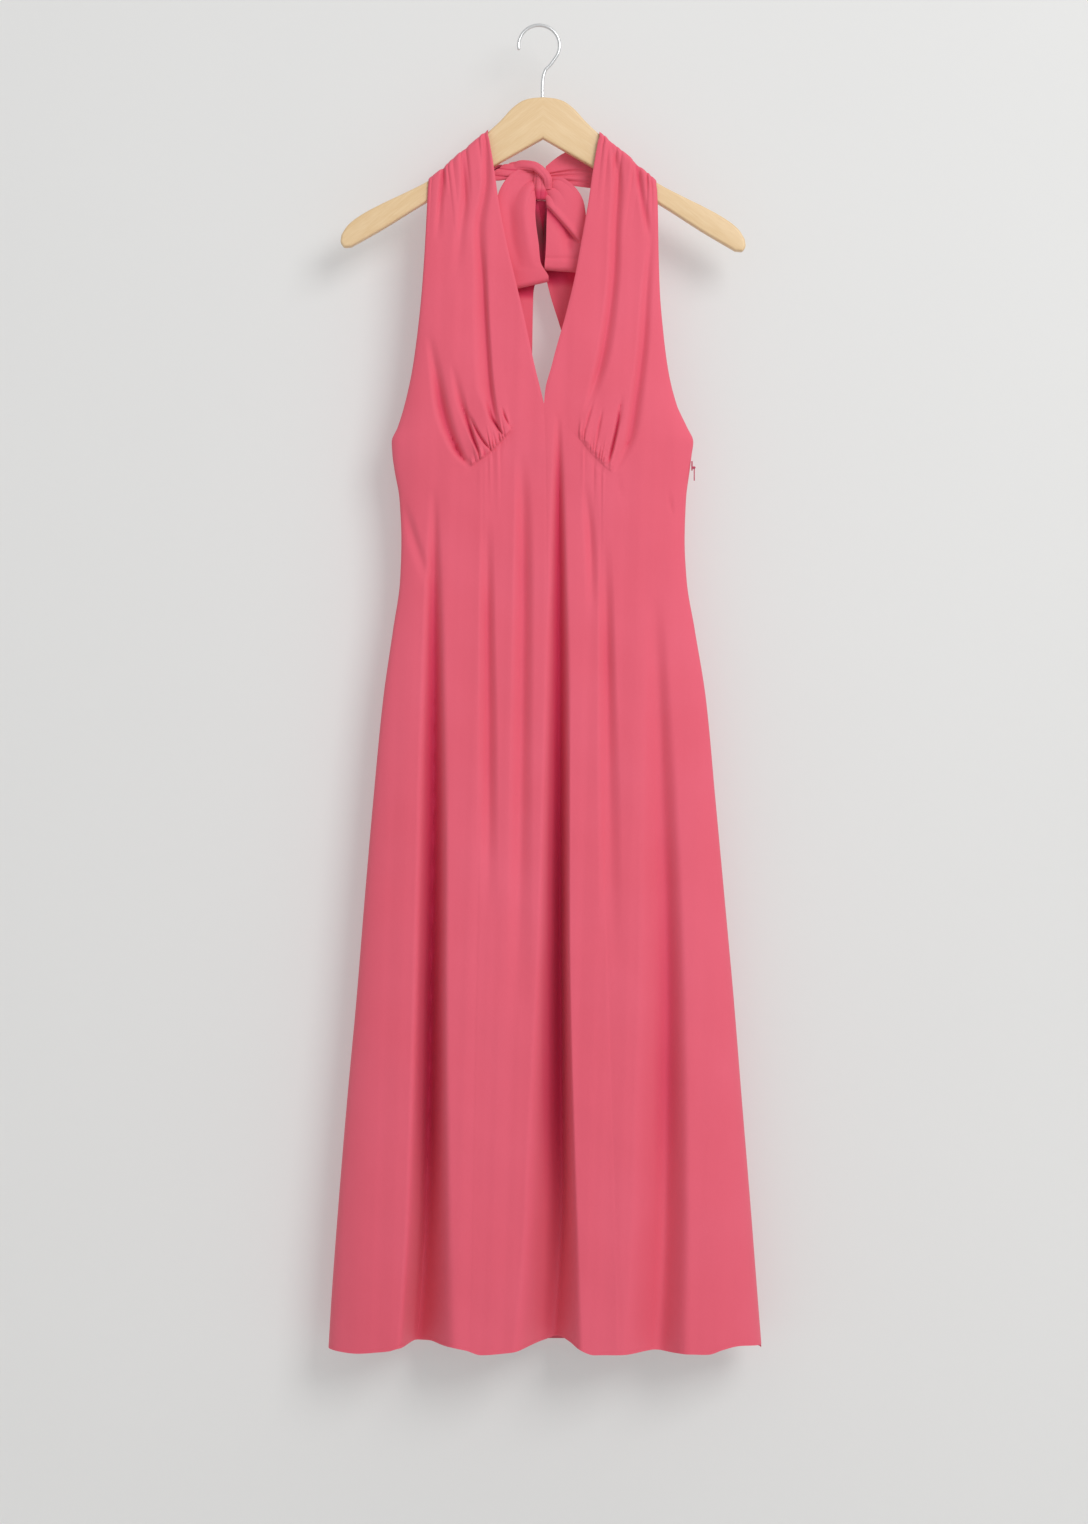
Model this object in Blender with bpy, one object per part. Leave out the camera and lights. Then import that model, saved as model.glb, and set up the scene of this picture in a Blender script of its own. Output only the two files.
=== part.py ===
"""A halter dress on a wooden hanger, at its real size.

Metres, +Z up, and the front faces -Y. The origin is the inside top of the hanger's hook, where a
rail or a wall hook carries everything. Sizes and tables below are in millimetres.
"""
import math
from collections import namedtuple

import bmesh
import bpy
import numpy as np
from mathutils import Matrix, Vector

MM = 0.001

# Cloth
WALL = 1.6  # thickness of a cloth wall
SHARP_EDGE = 50  # degrees: a surface that turns by more than this has an edge
SEAM_GAP = 0.3  # between two pieces at a seam
SLASH_GAP = 0.5  # in height, at the sloping slash under the bust
ROUNDING = 4.0  # how square the flat dress is in plan: 2 is an ellipse
HEM = -1453.0
RECESS_LIFT = 0.08  # how far the hem rises for each millimetre that a fold goes back
LIFT_FADE = 2.5  # how soon that lift fades above the hem
BACK_TOP_SIDE = -456.0
BACK_TOP_DIP = 14.0  # how much lower the back's top edge is in its middle
FOLD_END = 20.0  # how far past its last row a fold still holds
STRAIGHT_ABOVE = -250.0  # above this height a wall's thickness lies straight back
TURNED_OVER = 150.0  # and over this height below it, it turns to follow the folds

# Hanger
HANGER_CENTRE = 4.5  # its middle, to the right of the hook's top
HANGER_THICK = 12.0
HANGER_TILT = 0.6  # degrees, lower on the right
HANGER_EDGE = 2.6  # radius of the wood's rounded edges
WIRE_RADIUS = 1.9
HOOK_RADIUS = 22.5  # of the wire's middle, round the hook's arc
HOOK_ENDS = (188, -32)  # degrees round the arc, from the free end to the neck
HOOK_STEPS = 22
NECK_STEPS = 13
STEM_X = 3.6
STEM_END = -92.5
HOLE_RADIUS = 2.4
HOLE_END = -93.5

# Columns and rows of the front's panels
ARM_COLUMNS = 12  # from the side seam to the slash
ARM_SPREAD = 1.5  # over 1, they lie closer together at the side seam
GATHER_COLUMNS = 16  # along the upper side of the slash: a gather is two columns wide
SIDE_SLASH_COLUMNS = 4  # of these, from the slash's outer end to the princess seam
NECK_COLUMNS = 5  # from the slash to the V
BODICE_ROWS = 15
BODICE_SPREAD = 1.5  # over 1, they lie closer together at the slash
SIDE_HEM_SPREAD = 1.35
GATHER_DEPTH = 1.5
GATHER_REACH = 34.0  # how far up the gathers fade
GATHER_FADE = 1.2
GATHER_UNEVEN = 0.3  # share by which they differ
GATHER_STRIDE = 2.4  # radians from one to the next in that unevenness
BACK_COLUMNS = 24
BACK_CROWD = 0.9  # under 1, the back's columns lie closer together at the side seams

# The strap's turn over the hanger
TURN_ROWS = 4
TURN_DROP = 4.4  # from the wood's top edge down to where the turn starts
TURN_LIFT = 6.9  # from there up to the top of the cloth
TURN_BACK = 9.0  # how far down the cloth goes behind the wood
TURN_SQUARE = 0.8  # under 1, the turn is squarer than a circle
TURN_EXTRA = 0.5  # of what the front stands off further, how much the top rises
STRAP_CLEAR = 8.3  # from the hanger's middle to the cloth's outer face

# The bow, behind the front's straps
KNOT_X, KNOT_Z = 2.4, -168.5
KNOT_HALF = (9.2, 8.0, 21.0)  # half its width, depth and height
KNOT_DEPTH = 10.0  # of its middle
KNOT_FOLDS, KNOT_FOLD = 3, 1.6  # the wrapped folds, and how far they stand out
KNOT_WIND = 2.2  # radians that they wind between its middle and an end
KNOT_POINTS, KNOT_LEVELS = 14, 8
KNOT_TRIM = 0.94  # where its flat ends are, as a share of half its height
TIE_COLUMNS, TIE_ROWS = 10, 8
TIE_GATHER = 1.3  # half the depth of a tie's gathers at the knot
TIE_EASE, TIE_DEPTH_EASE = 0.9, 0.6  # under 1, it draws together and goes back sooner
TIE_CLEAR = 0.1  # to the knot
LOOP_COLUMNS, LOOP_ROWS, BEND_ROWS = 7, 8, 3
LOOP_PUFF = {"front": -2.4, "back": 0.7}  # how far a loop's two faces are puffed out
TAIL_COLUMNS, TAIL_TOP_ROWS, TAIL_LOW_ROWS = 5, 6, 4
TAIL_OPEN = -245.0  # where a tail is out of the knot's folds
TAIL_RIPPLE, RIPPLE_FROM, RIPPLE_OVER = 0.9, -200.0, 60.0

# The zip's slider in the side seam, and the pull tab that swings on its bar
ZIP_X, ZIP_Y = 169.1, 2.6  # the slider's outer face, and its middle in depth
SLIDER_SIZE = (1.5, 4.6, 10.0)
SLIDER_Z = -482.5
BAR_RADIUS = 0.5
BAR_OUT = 1.75  # from the slider's outer face to the bar's middle
BAR_Z = -484.5
EAR_THICK, EAR_HALF, EAR_INSET, EAR_PAST = 0.8, 1.1, 0.05, 0.3
EYE_INNER, EYE_OUTER = 0.85, 1.45
TAB_LENGTH, TAB_THICK, TAB_WIDTH = 14.2, 1.1, 2.2
TAB_START = 1.15  # from the bar's middle: inside the eye's ring
TAB_ROWS = 4
TAB_NARROW, TAB_SWELL, TAB_SWELL_END = 0.9, 0.6, 0.75  # the drop shape of its two long edges

Outline = namedtuple("Outline", "height left right")
Neckline = namedtuple("Neckline", "height left right")
Seam = namedtuple("Seam", "height princess_left centre princess_right")
Section = namedtuple("Section", "height side front back")
Band = namedtuple("Band", "name floor rows")
Fold = namedtuple("Fold", "fold height x depth reach_left reach_right")
Rib = namedtuple("Rib", "run top")
Tie = namedtuple("Tie", "top bottom depth")
Loop = namedtuple("Loop", "along outer_x outer_z inner_x inner_z front back")
Tail = namedtuple("Tail", "height left right depth")

# Where the armhole edges run down to the underarm at -456, and the side seams below it
OUTLINE = [Outline(*row) for row in (
    (-165, -121.4, 128.8),
    (-200, -123.0, 130.4),
    (-245, -125.4, 131.2),
    (-290, -128.6, 132.6),
    (-333, -133.1, 136.2),
    (-377, -139.4, 142.0),
    (-415, -147.8, 151.4),
    (-440, -155.6, 163.0),
    (-456, -162.2, 169.9),
    (-471, -161.4, 168.0),
    (-487, -159.2, 166.0),
    (-520, -153.6, 161.9),
    (-565, -151.6, 160.4),
    (-608, -153.0, 162.6),
    (-663, -160.8, 171.6),
    (-740, -171.8, 184.0),
    (-850, -182.6, 194.4),
    (-960, -192.2, 204.6),
    (-1070, -201.2, 214.6),
    (-1180, -211.4, 223.4),
    (-1290, -220.6, 232.4),
    (-1400, -228.8, 240.9),
    (-1453, -232.0, 245.0),
)]

# The inner edges of the two straps, down to the point of the V
NECKLINE = [Neckline(*row) for row in (
    (-118, -56.0, 66.4),
    (-156, -49.5, 59.8),
    (-195, -44.0, 54.0),
    (-235, -36.4, 47.0),
    (-275, -27.1, 39.7),
    (-316, -17.5, 30.0),
    (-355, -9.0, 19.0),
    (-377, -4.2, 13.2),
    (-399, 1.4, 7.2),
    (-416, 5.4, 5.4),
)]

# The long seams of the front
SEAMS = [Seam(*row) for row in (
    (-416, -61.6, 5.4, 70.0),
    (-480, -61.6, 7.5, 69.0),
    (-640, -62.0, 8.8, 67.6),
    (-900, -66.0, 6.5, 72.0),
    (-1180, -71.0, 1.9, 80.0),
    (-1453, -76.0, -5.8, 88.0),
)]

# The gathered slash under each bust, from its outer end to its inner end, as (x, height)
SLASH = {"left": ((-75.0, -486.0), (-53.9, -471.0), (-28.9, -445.5)),
         "right": ((81.1, -493.9), (62.7, -477.5), (41.8, -453.2))}

# How deep the dress is: the side seam's depth, and how far the front and back stand off it
SECTIONS = [Section(*row) for row in (
    (-118, -8.6, 3.2, 0),
    (-200, -8.6, 3.4, 0),
    (-260, -8.2, 5.6, 0),
    (-330, -5.6, 10.0, 0),
    (-400, -1.0, 15.0, 0),
    (-456, 2.4, 18.0, 12.0),
    (-520, 3.0, 16.0, 13.0),
    (-600, 3.0, 15.0, 14.5),
    (-700, 3.4, 17.5, 18.5),
    (-850, 4.0, 23.0, 26.0),
    (-1070, 4.5, 31.0, 35.0),
    (-1290, 5.0, 38.0, 42.0),
    (-1453, 5.0, 42.0, 46.0),
)]

# The level bands of the long panels below the bust. A panel's cloth runs on from one to the next, and
# each is a solid of its own, because one solid of the whole length can't be hollow to what goes in it
BANDS = [Band(*row) for row in (
    ("top", -720, 4),
    ("upper", -960, 3),
    ("lower", -1200, 3),
    ("hem", HEM, 4),
)]

# The front's folds, as troughs: where each runs, how deep it is, and how far it reaches to each side
FRONT_FOLDS = [Fold(*row) for row in (
    ("centre", -425, 20.6, 0.0, 4, 4),
    ("centre", -500, 21.5, 7.0, 8, 7),
    ("centre", -740, 22.6, 22.0, 17, 12),
    ("centre", -1000, 23.0, 40.0, 26, 16),
    ("centre", -1290, 19.0, 54.0, 34, 21),
    ("centre", -1453, 12.0, 60.0, 38, 28),
    ("left", -510, -115.0, 0.0, 6, 6),
    ("left", -640, -115.0, 10.0, 12, 11),
    ("left", -850, -116.0, 26.0, 17, 17),
    ("left", -1070, -119.0, 42.0, 18, 24),
    ("left", -1290, -124.0, 54.0, 19, 33),
    ("left", -1453, -128.0, 60.0, 20, 38),
    ("left_princess", -540, -57.0, 0.0, 9, 9),
    ("left_princess", -660, -56.5, 6.0, 10, 10),
    ("left_princess", -800, -55.5, 6.5, 12, 12),
    ("left_princess", -980, -55.0, 0.0, 12, 12),
    ("left_inner", -490, -17.0, 0.0, 9, 9),
    ("left_inner", -620, -17.5, 5.0, 12, 12),
    ("left_inner", -800, -19.0, 6.5, 14, 14),
    ("left_inner", -1100, -22.0, 0.0, 16, 16),
    ("right_princess", -560, 72.5, 0.0, 9, 9),
    ("right_princess", -700, 74.5, 6.5, 11, 11),
    ("right_princess", -860, 77.0, 5.5, 14, 14),
    ("right_princess", -1020, 79.0, 0.0, 14, 14),
    ("right_side", -620, 126.0, 0.0, 12, 12),
    ("right_side", -850, 135.0, 12.0, 26, 18),
    ("right_side", -1070, 140.0, 21.0, 34, 22),
    ("right_side", -1290, 138.0, 27.0, 40, 27),
    ("right_side", -1453, 130.0, 29.0, 42, 34),
    ("left_cup_outer", -350, -120.0, 0.0, 7, 7),
    ("left_cup_outer", -400, -109.0, 4.0, 9, 9),
    ("left_cup_outer", -450, -96.5, 6.0, 10, 9),
    ("left_cup_outer", -487, -78.0, 0.0, 8, 6),
    ("left_cup_slit", -370, -94.0, 0.0, 6, 6),
    ("left_cup_slit", -420, -83.5, 4.0, 7, 6),
    ("left_cup_slit", -452, -72.5, 5.0, 6, 5),
    ("left_cup_slit", -478, -62.0, 0.0, 5, 4),
    ("left_strap_inner", -120, -63.0, 2.6, 6, 6),
    ("left_strap_inner", -190, -60.0, 2.6, 8, 8),
    ("left_strap_inner", -290, -61.5, 3.6, 10, 9),
    ("left_strap_inner", -380, -56.0, 5.0, 10, 8),
    ("left_strap_inner", -430, -49.0, 4.0, 7, 6),
    ("left_strap_inner", -462, -38.0, 0.0, 5, 5),
    ("left_strap_mid", -132, -83.0, 2.6, 6, 6),
    ("left_strap_mid", -180, -80.0, 2.4, 8, 8),
    ("left_strap_mid", -260, -86.0, 0.0, 10, 10),
    ("left_strap_outer", -150, -103.0, 2.6, 5, 5),
    ("left_strap_outer", -185, -106.0, 2.6, 7, 7),
    ("left_strap_outer", -260, -109.0, 0.0, 9, 9),
    ("right_strap_inner", -124, 78.0, 2.6, 6, 6),
    ("right_strap_inner", -190, 86.0, 2.6, 8, 8),
    ("right_strap_inner", -265, 82.5, 3.4, 9, 9),
    ("right_strap_inner", -357, 71.0, 4.6, 10, 11),
    ("right_strap_inner", -430, 51.0, 0.0, 7, 8),
    ("right_strap_outer", -152, 107.0, 2.6, 5, 6),
    ("right_strap_outer", -200, 114.5, 3.0, 7, 7),
    ("right_strap_outer", -290, 118.0, 3.6, 9, 8),
    ("right_strap_outer", -380, 110.0, 5.6, 9, 9),
    ("right_strap_outer", -450, 100.0, 4.6, 8, 9),
    ("right_strap_outer", -492, 84.0, 0.0, 6, 7),
    ("right_cup_slit", -400, 90.0, 0.0, 4, 4),
    ("right_cup_slit", -440, 85.0, 4.6, 5, 5),
    ("right_cup_slit", -484, 75.0, 0.0, 4, 4),
)]

# The back's folds are like the front's, and shallower
BACK_FOLDS = [Fold(*row) for row in (
    ("back_left", -560, -100.0, 0.0, 20, 20),
    ("back_left", -1000, -128.0, 9.0, 32, 28),
    ("back_left", -1453, -166.0, 13.0, 40, 34),
    ("back_mid_left", -520, -42.0, 0.0, 18, 18),
    ("back_mid_left", -1000, -58.0, 11.0, 26, 30),
    ("back_mid_left", -1453, -72.0, 16.0, 32, 36),
    ("back_mid_right", -540, 40.0, 0.0, 18, 18),
    ("back_mid_right", -1000, 66.0, 12.0, 30, 26),
    ("back_mid_right", -1453, 84.0, 17.0, 36, 30),
    ("back_right", -600, 110.0, 0.0, 22, 22),
    ("back_right", -1000, 144.0, 8.0, 28, 32),
    ("back_right", -1453, 178.0, 12.0, 34, 36),
)]

# The top edge of half of the hanger, from its middle out to its end
HANGER_TOP = [Rib(*row) for row in (
    (0, -78.1), (12, -79.2), (22, -82.0), (33, -89.6), (47, -104.6), (61, -117.6), (92, -143.8),
    (125, -170.6), (152, -184.8), (178, -197.4), (201, -210.2), (215, -221.4), (221.5, -231.5),
)]
# Its end and its lower edge, back in to the angle under the middle
HANGER_END = (Rib(222.5, -239.0), Rib(218.0, -245.0), Rib(211.0, -244.4))
HANGER_LOWER = (Rib(177, -224.8), Rib(127, -193.6), Rib(55, -154.5), Rib(0, -123.2))
# The hook's bent neck, from the arc down to its straight stem, as (x, height)
HOOK_NECK = ((12.6, -41.6), (6.8, -48.0), (4.4, -56.0), (STEM_X, -68.0), (STEM_X, STEM_END))

# Where each tie's gathered end meets the knot
TIES = {"left": Tie(-151.0, -162.5, 10.7), "right": Tie(-151.0, -168.5, 10.7)}

# Each loop, along its length from the knot down to its bend
LOOPS = {
    "left": [Loop(*row) for row in (
        (0.00, -8.2, -165.0, -8.0, -184.0, 8.6, 12.4),
        (0.12, -19.0, -161.5, -7.6, -190.0, 5.6, 13.2),
        (0.28, -38.0, -171.0, -5.6, -204.0, 4.2, 14.0),
        (0.42, -46.0, -190.0, -3.4, -217.0, 3.8, 14.4),
        (0.62, -43.0, -220.0, -0.6, -238.0, 3.6, 14.8),
        (0.82, -33.5, -256.0, 1.4, -257.0, 3.8, 14.8),
        (1.00, -25.0, -281.0, 10.5, -273.0, 4.4, 14.4),
    )],
    "right": [Loop(*row) for row in (
        (0.00, 12.6, -178.0, 12.4, -187.0, 8.6, 12.4),
        (0.12, 24.0, -177.5, 11.4, -192.0, 4.8, 13.0),
        (0.28, 40.0, -183.0, 9.4, -201.0, 3.0, 13.6),
        (0.45, 51.0, -199.0, 8.4, -215.0, 2.4, 13.8),
        (0.65, 53.0, -226.0, 8.0, -233.0, 2.2, 13.8),
        (0.85, 50.0, -249.0, 7.2, -250.0, 2.4, 13.6),
        (1.00, 42.0, -263.0, 6.2, -260.5, 3.0, 13.2),
    )],
}
TAILS = {
    "left": [Tail(*row) for row in (
        (-189.0, -3.6, 2.0, 12.0),
        (-196.0, -4.4, 1.4, 16.6),
        (-206.0, -9.0, -1.0, 20.2),
        (-245.0, -30.0, -4.6, 22.4),
        (-290.0, -44.0, -6.6, 23.0),
        (-357.0, -50.0, -7.7, 22.0),
        (-418.0, -52.0, -9.0, 20.0),
    )],
    "right": [Tail(*row) for row in (
        (-189.0, 3.2, 9.0, 12.0),
        (-196.0, 3.8, 10.4, 16.6),
        (-206.0, 6.0, 15.0, 20.0),
        (-245.0, 9.0, 34.0, 21.6),
        (-290.0, 12.2, 50.0, 22.0),
        (-337.0, 26.4, 62.0, 21.0),
        (-408.0, 41.0, 74.0, 19.0),
    )],
}


def smooth(keys, values):
    """A curve through the points that never swings past them, as a function."""
    order = np.argsort(keys)
    at = np.asarray(keys, float)[order]
    value = np.asarray(values, float)[order]
    step = np.diff(at)
    slope = np.diff(value) / step
    tangent = np.zeros_like(value)
    tangent[0], tangent[-1] = slope[0], slope[-1]
    steady = slope[:-1] * slope[1:] > 0
    before, after = slope[:-1][steady], slope[1:][steady]
    tangent[1:-1][steady] = 2 * before * after / (before + after)

    def curve(key):
        key = np.clip(key, at[0], at[-1])
        i = np.clip(np.searchsorted(at, key) - 1, 0, len(at) - 2)
        t = (key - at[i]) / step[i]
        rise = t * t * (3 - 2 * t)
        ease_out = t * (1 - t) ** 2 * step[i] * tangent[i]
        ease_in = t * t * (t - 1) * step[i] * tangent[i + 1]
        return value[i] * (1 - rise) + value[i + 1] * rise + ease_out + ease_in

    return curve


def columns_of(rows, key="height"):
    """One smooth curve for each column of numbers in a table, over its key column."""
    keys = [getattr(r, key) for r in rows]
    names = [n for n in rows[0]._fields if n not in (key, "fold")]
    return {n: smooth(keys, [getattr(r, n) for r in rows]) for n in names}


def folds_of(rows):
    """The curves of each fold in a table, with the heights between which it runs."""
    names = list(dict.fromkeys(r.fold for r in rows))
    own = {n: [r for r in rows if r.fold == n] for n in names}
    return [(columns_of(f), f[0].height, f[-1].height) for f in own.values()]


outline = columns_of(OUTLINE)
neckline = columns_of(NECKLINE)
seam = columns_of(SEAMS)
section = columns_of(SECTIONS)
front_folds = folds_of(FRONT_FOLDS)
back_folds = folds_of(BACK_FOLDS)


def fold_depth(folds, x, z):
    """How far all the folds together push the cloth back at a point."""
    depth = np.zeros_like(x)
    for curves, top, bottom in folds:
        aside = x - curves["x"](z)
        reach = np.where(aside < 0, curves["reach_left"](z), curves["reach_right"](z))
        shape = 0.5 + 0.5 * np.cos(math.pi * np.clip(aside / reach, -1, 1))
        runs = (z <= top) & (z >= bottom - FOLD_END)
        depth += np.where(runs, curves["depth"](z) * shape, 0)
    return depth


def across(x, z):
    """A point's place between the side edges, from -1 to 1, and half the width there."""
    left, right = outline["left"](z), outline["right"](z)
    half = (right - left) / 2
    return np.clip((x - left) / half - 1, -1, 1), half


def bow_out(x, z):
    """The plain flat tube's height over its side seam, from 0 to 1, and its slope along X."""
    u, half = across(x, z)
    rise = np.sqrt(np.clip(1 - np.abs(u) ** ROUNDING, 0, 1))
    slope = ROUNDING * np.abs(u) ** (ROUNDING - 1) * np.sign(u) / (2 * half * np.maximum(rise, 1e-6))
    return rise, slope


def wall(x, z, stand, folds, facing):
    """The outer and inner points of the front wall (facing -1) or of the back wall (facing 1)."""
    rise, slope = bow_out(x, z)
    size = section[stand](z)
    depth = section["side"](z) + facing * SEAM_GAP / 2
    depth = depth + facing * (size * rise - fold_depth(folds, x, z))
    nudge = 0.5
    fold_slope = (fold_depth(folds, x + nudge, z) - fold_depth(folds, x - nudge, z)) / (2 * nudge)
    turned = np.clip((STRAIGHT_ABOVE - z) / TURNED_OVER, 0, 1)
    lean = (size * slope + fold_slope) * turned
    inward = np.stack([-lean, np.full_like(lean, -facing), np.zeros_like(lean)], axis=-1)
    inward /= np.linalg.norm(inward, axis=-1, keepdims=True)
    outer = np.stack([x, depth, z], axis=-1)
    return outer, outer + WALL * inward


def lengths_along(points):
    """The distance along a line of points, at each of them."""
    steps = np.linalg.norm(np.diff(points, axis=0), axis=1)
    return np.concatenate([[0], np.cumsum(steps)])


def path(points, shares):
    """Points at the given shares of the length of a smooth line through (x, height) points."""
    points = np.asarray(points, float)
    lengths = lengths_along(points)
    along = np.asarray(shares) * lengths[-1]
    return np.stack([smooth(lengths, points[:, 0])(along), smooth(lengths, points[:, 1])(along)], -1)


def fractions(count, power=1.0):
    """Evenly spaced numbers from 0 to 1, or closer together near 0 for a power over 1."""
    return np.linspace(0, 1, count + 1) ** power


def patch(top, bottom, first, last):
    """The points of a four-sided field, from the points along its edges."""
    def spacing(edge):
        lengths = lengths_along(edge)
        return lengths / lengths[-1]

    c = ((spacing(top) + spacing(bottom)) / 2)[None, :, None]
    t = ((spacing(first) + spacing(last)) / 2)[:, None, None]
    top, bottom = top[None, :, :], bottom[None, :, :]
    first, last = first[:, None, :], last[:, None, :]
    corners = (1 - t) * ((1 - c) * top[:, :1] + c * top[:, -1:])
    corners = corners + t * ((1 - c) * bottom[:, :1] + c * bottom[:, -1:])
    return (1 - t) * top + t * bottom + (1 - c) * first + c * last - corners


def tilt_drop(run):
    """How much lower the tilted hanger is at a distance to the right of its middle."""
    return math.tan(math.radians(HANGER_TILT)) * run


level_top = columns_of(HANGER_TOP, "run")["top"]


def hanger_top(x):
    """The height of the wood's top edge."""
    run = x - HANGER_CENTRE
    return level_top(np.abs(run)) - tilt_drop(run)


def material(name, colour, roughness, metallic=0.0):
    """A Principled material with the piece's own colour, given as linear red, green and blue."""
    made = bpy.data.materials.new(name)
    made.use_nodes = True
    shader = made.node_tree.nodes["Principled BSDF"]
    shader.inputs["Base Color"].default_value = (*colour, 1.0)
    shader.inputs["Roughness"].default_value = roughness
    shader.inputs["Metallic"].default_value = metallic
    made.diffuse_color = (*colour, 1.0)
    return made


def add_object(name, data, finish):
    piece = bpy.data.objects.new(name, data)
    bpy.context.scene.collection.objects.link(piece)
    piece.data.materials.append(finish)
    return piece


def add_form(name, form, finish):
    """An object from a bmesh."""
    mesh = bpy.data.meshes.new(name)
    form.to_mesh(mesh)
    form.free()
    return add_object(name, mesh, finish)


def solid(name, points, faces, finish):
    """An object from points in millimetres and faces, with its faces turned outward."""
    mesh = bpy.data.meshes.new(name)
    mesh.from_pydata([tuple(c * MM for c in p) for p in points], [], faces)
    form = bmesh.new()
    form.from_mesh(mesh)
    bmesh.ops.recalc_face_normals(form, faces=form.faces[:])
    form.to_mesh(mesh)
    form.free()
    mesh.shade_smooth()
    mesh.set_sharp_from_angle(angle=math.radians(SHARP_EDGE))
    return add_object(name, mesh, finish)


def combine(body, name, form, finish, operation):
    """Adds a shape to a body, or cuts it out, with a Boolean."""
    shape = add_form(name, form, finish)
    shape.location = body.location
    shape.hide_render = True
    shape.display_type = "WIRE"
    step = body.modifiers.new(name, "BOOLEAN")
    step.object = shape
    step.operation = operation


def cloth_piece(name, fields, finish):
    """A closed wall from fields of points, each its outer and inner grid; shared edges are joined."""
    known, outer_points, inner_points, quads = {}, [], [], []
    for outer, inner in fields:
        rows, columns = outer.shape[:2]
        number = np.empty((rows, columns), int)
        for r, c in np.ndindex(rows, columns):
            place = tuple(np.round(outer[r, c], 3))
            if place not in known:
                known[place] = len(outer_points)
                outer_points.append(outer[r, c])
                inner_points.append(inner[r, c])
            number[r, c] = known[place]
        for r, c in np.ndindex(rows - 1, columns - 1):
            quads.append((number[r, c], number[r + 1, c], number[r + 1, c + 1], number[r, c + 1]))
    count = len(outer_points)
    edges = {(q[k], q[(k + 1) % 4]) for q in quads for k in range(4)}
    rim = [(b, a, a + count, b + count) for a, b in edges if (b, a) not in edges]
    back = [tuple(i + count for i in reversed(q)) for q in quads]
    faces = [tuple(int(i) for i in face) for face in quads + back + sorted(rim)]
    return solid(name, outer_points + inner_points, faces, finish)


def thicken(grid):
    """A strip's outer and inner points: half the wall to each side of its middle."""
    down, along = np.gradient(grid, axis=0), np.gradient(grid, axis=1)
    normal = np.cross(down, along)
    normal /= np.linalg.norm(normal, axis=-1, keepdims=True)
    return grid + normal * WALL / 2, grid - normal * WALL / 2


def strap_turn(top_outer):
    """The rows of cloth that go over the wood and down behind it, from back to front."""
    x, front = top_outer[:, 0], -top_outer[:, 1]
    base = hanger_top(x) - TURN_DROP
    behind = base - TURN_BACK
    outer = [np.stack([x, np.full_like(x, STRAP_CLEAR), behind], -1)]
    inner = [np.stack([x, np.full_like(x, STRAP_CLEAR - WALL), behind], -1)]
    for row in range(TURN_ROWS + 1):
        forward = row / (TURN_ROWS + 1)
        angle = math.pi * (1 - forward)
        radius = STRAP_CLEAR + (front - STRAP_CLEAR) * forward
        lift = TURN_LIFT + (radius - STRAP_CLEAR) * TURN_EXTRA
        round_y = math.copysign(abs(math.cos(angle)) ** TURN_SQUARE, math.cos(angle))
        round_z = math.sin(angle) ** TURN_SQUARE if row else 0.0
        outer.append(np.stack([x, -radius * round_y, base + lift * round_z], -1))
        inner.append(np.stack([x, -(radius - WALL) * round_y, base + (lift - WALL) * round_z], -1))
    return np.array(outer), np.array(inner)


def gather(outer, inner):
    """Gathers the bodice's cloth where it meets the slash: ridges and valleys that fade upward."""
    height = np.linalg.norm(outer - outer[-1:], axis=-1)
    for count in range(1, GATHER_COLUMNS):
        column = ARM_COLUMNS + count
        uneven = 1 + GATHER_UNEVEN * math.sin(GATHER_STRIDE * column)
        fade = np.clip(1 - height[:, column] / (GATHER_REACH * uneven), 0, 1) ** GATHER_FADE
        push = GATHER_DEPTH * uneven * fade * (-1 if count % 2 else 1)
        outer[:, column, 1] += push
        inner[:, column, 1] += push


def long_edge(curve, start, end_z, down):
    """A long edge of a panel, from its top end down to a height."""
    z = start[1] + down * (end_z - start[1])
    points = np.stack([curve(z), z], -1)
    points[0] = start
    return points


def skirt_panel(name, top_edge, first_x, last_x, spread, finish):
    """A panel of the skirt between two long edges, as level bands, its hem lifted in the recesses."""
    share_at_top = lengths_along(top_edge) / lengths_along(top_edge)[-1]
    share_at_hem = fractions(len(top_edge) - 1, spread)
    upper = top_edge
    for band in BANDS:
        low = band.floor
        fallen = (low - top_edge[0, 1]) / (HEM - top_edge[0, 1])
        share = share_at_top + (share_at_hem - share_at_top) * fallen
        lower = np.stack([first_x(low) + share * (last_x(low) - first_x(low)), np.full_like(share, low)], -1)
        down = fractions(band.rows)
        field = patch(upper, lower, long_edge(first_x, upper[0], low, down),
                      long_edge(last_x, upper[-1], low, down))
        outer, inner = wall(field[..., 0], field[..., 1], "front", front_folds, -1)
        if low == HEM:
            lift = RECESS_LIFT * fold_depth(front_folds, lower[:, 0], lower[:, 1])
            rise = lift[None, :] * down[:, None] ** LIFT_FADE
            outer[..., 2] += rise
            inner[..., 2] += rise
        cloth_piece(name + "_" + band.name, [(outer, inner)], finish)
        upper = lower - (0, SEAM_GAP)


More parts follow.
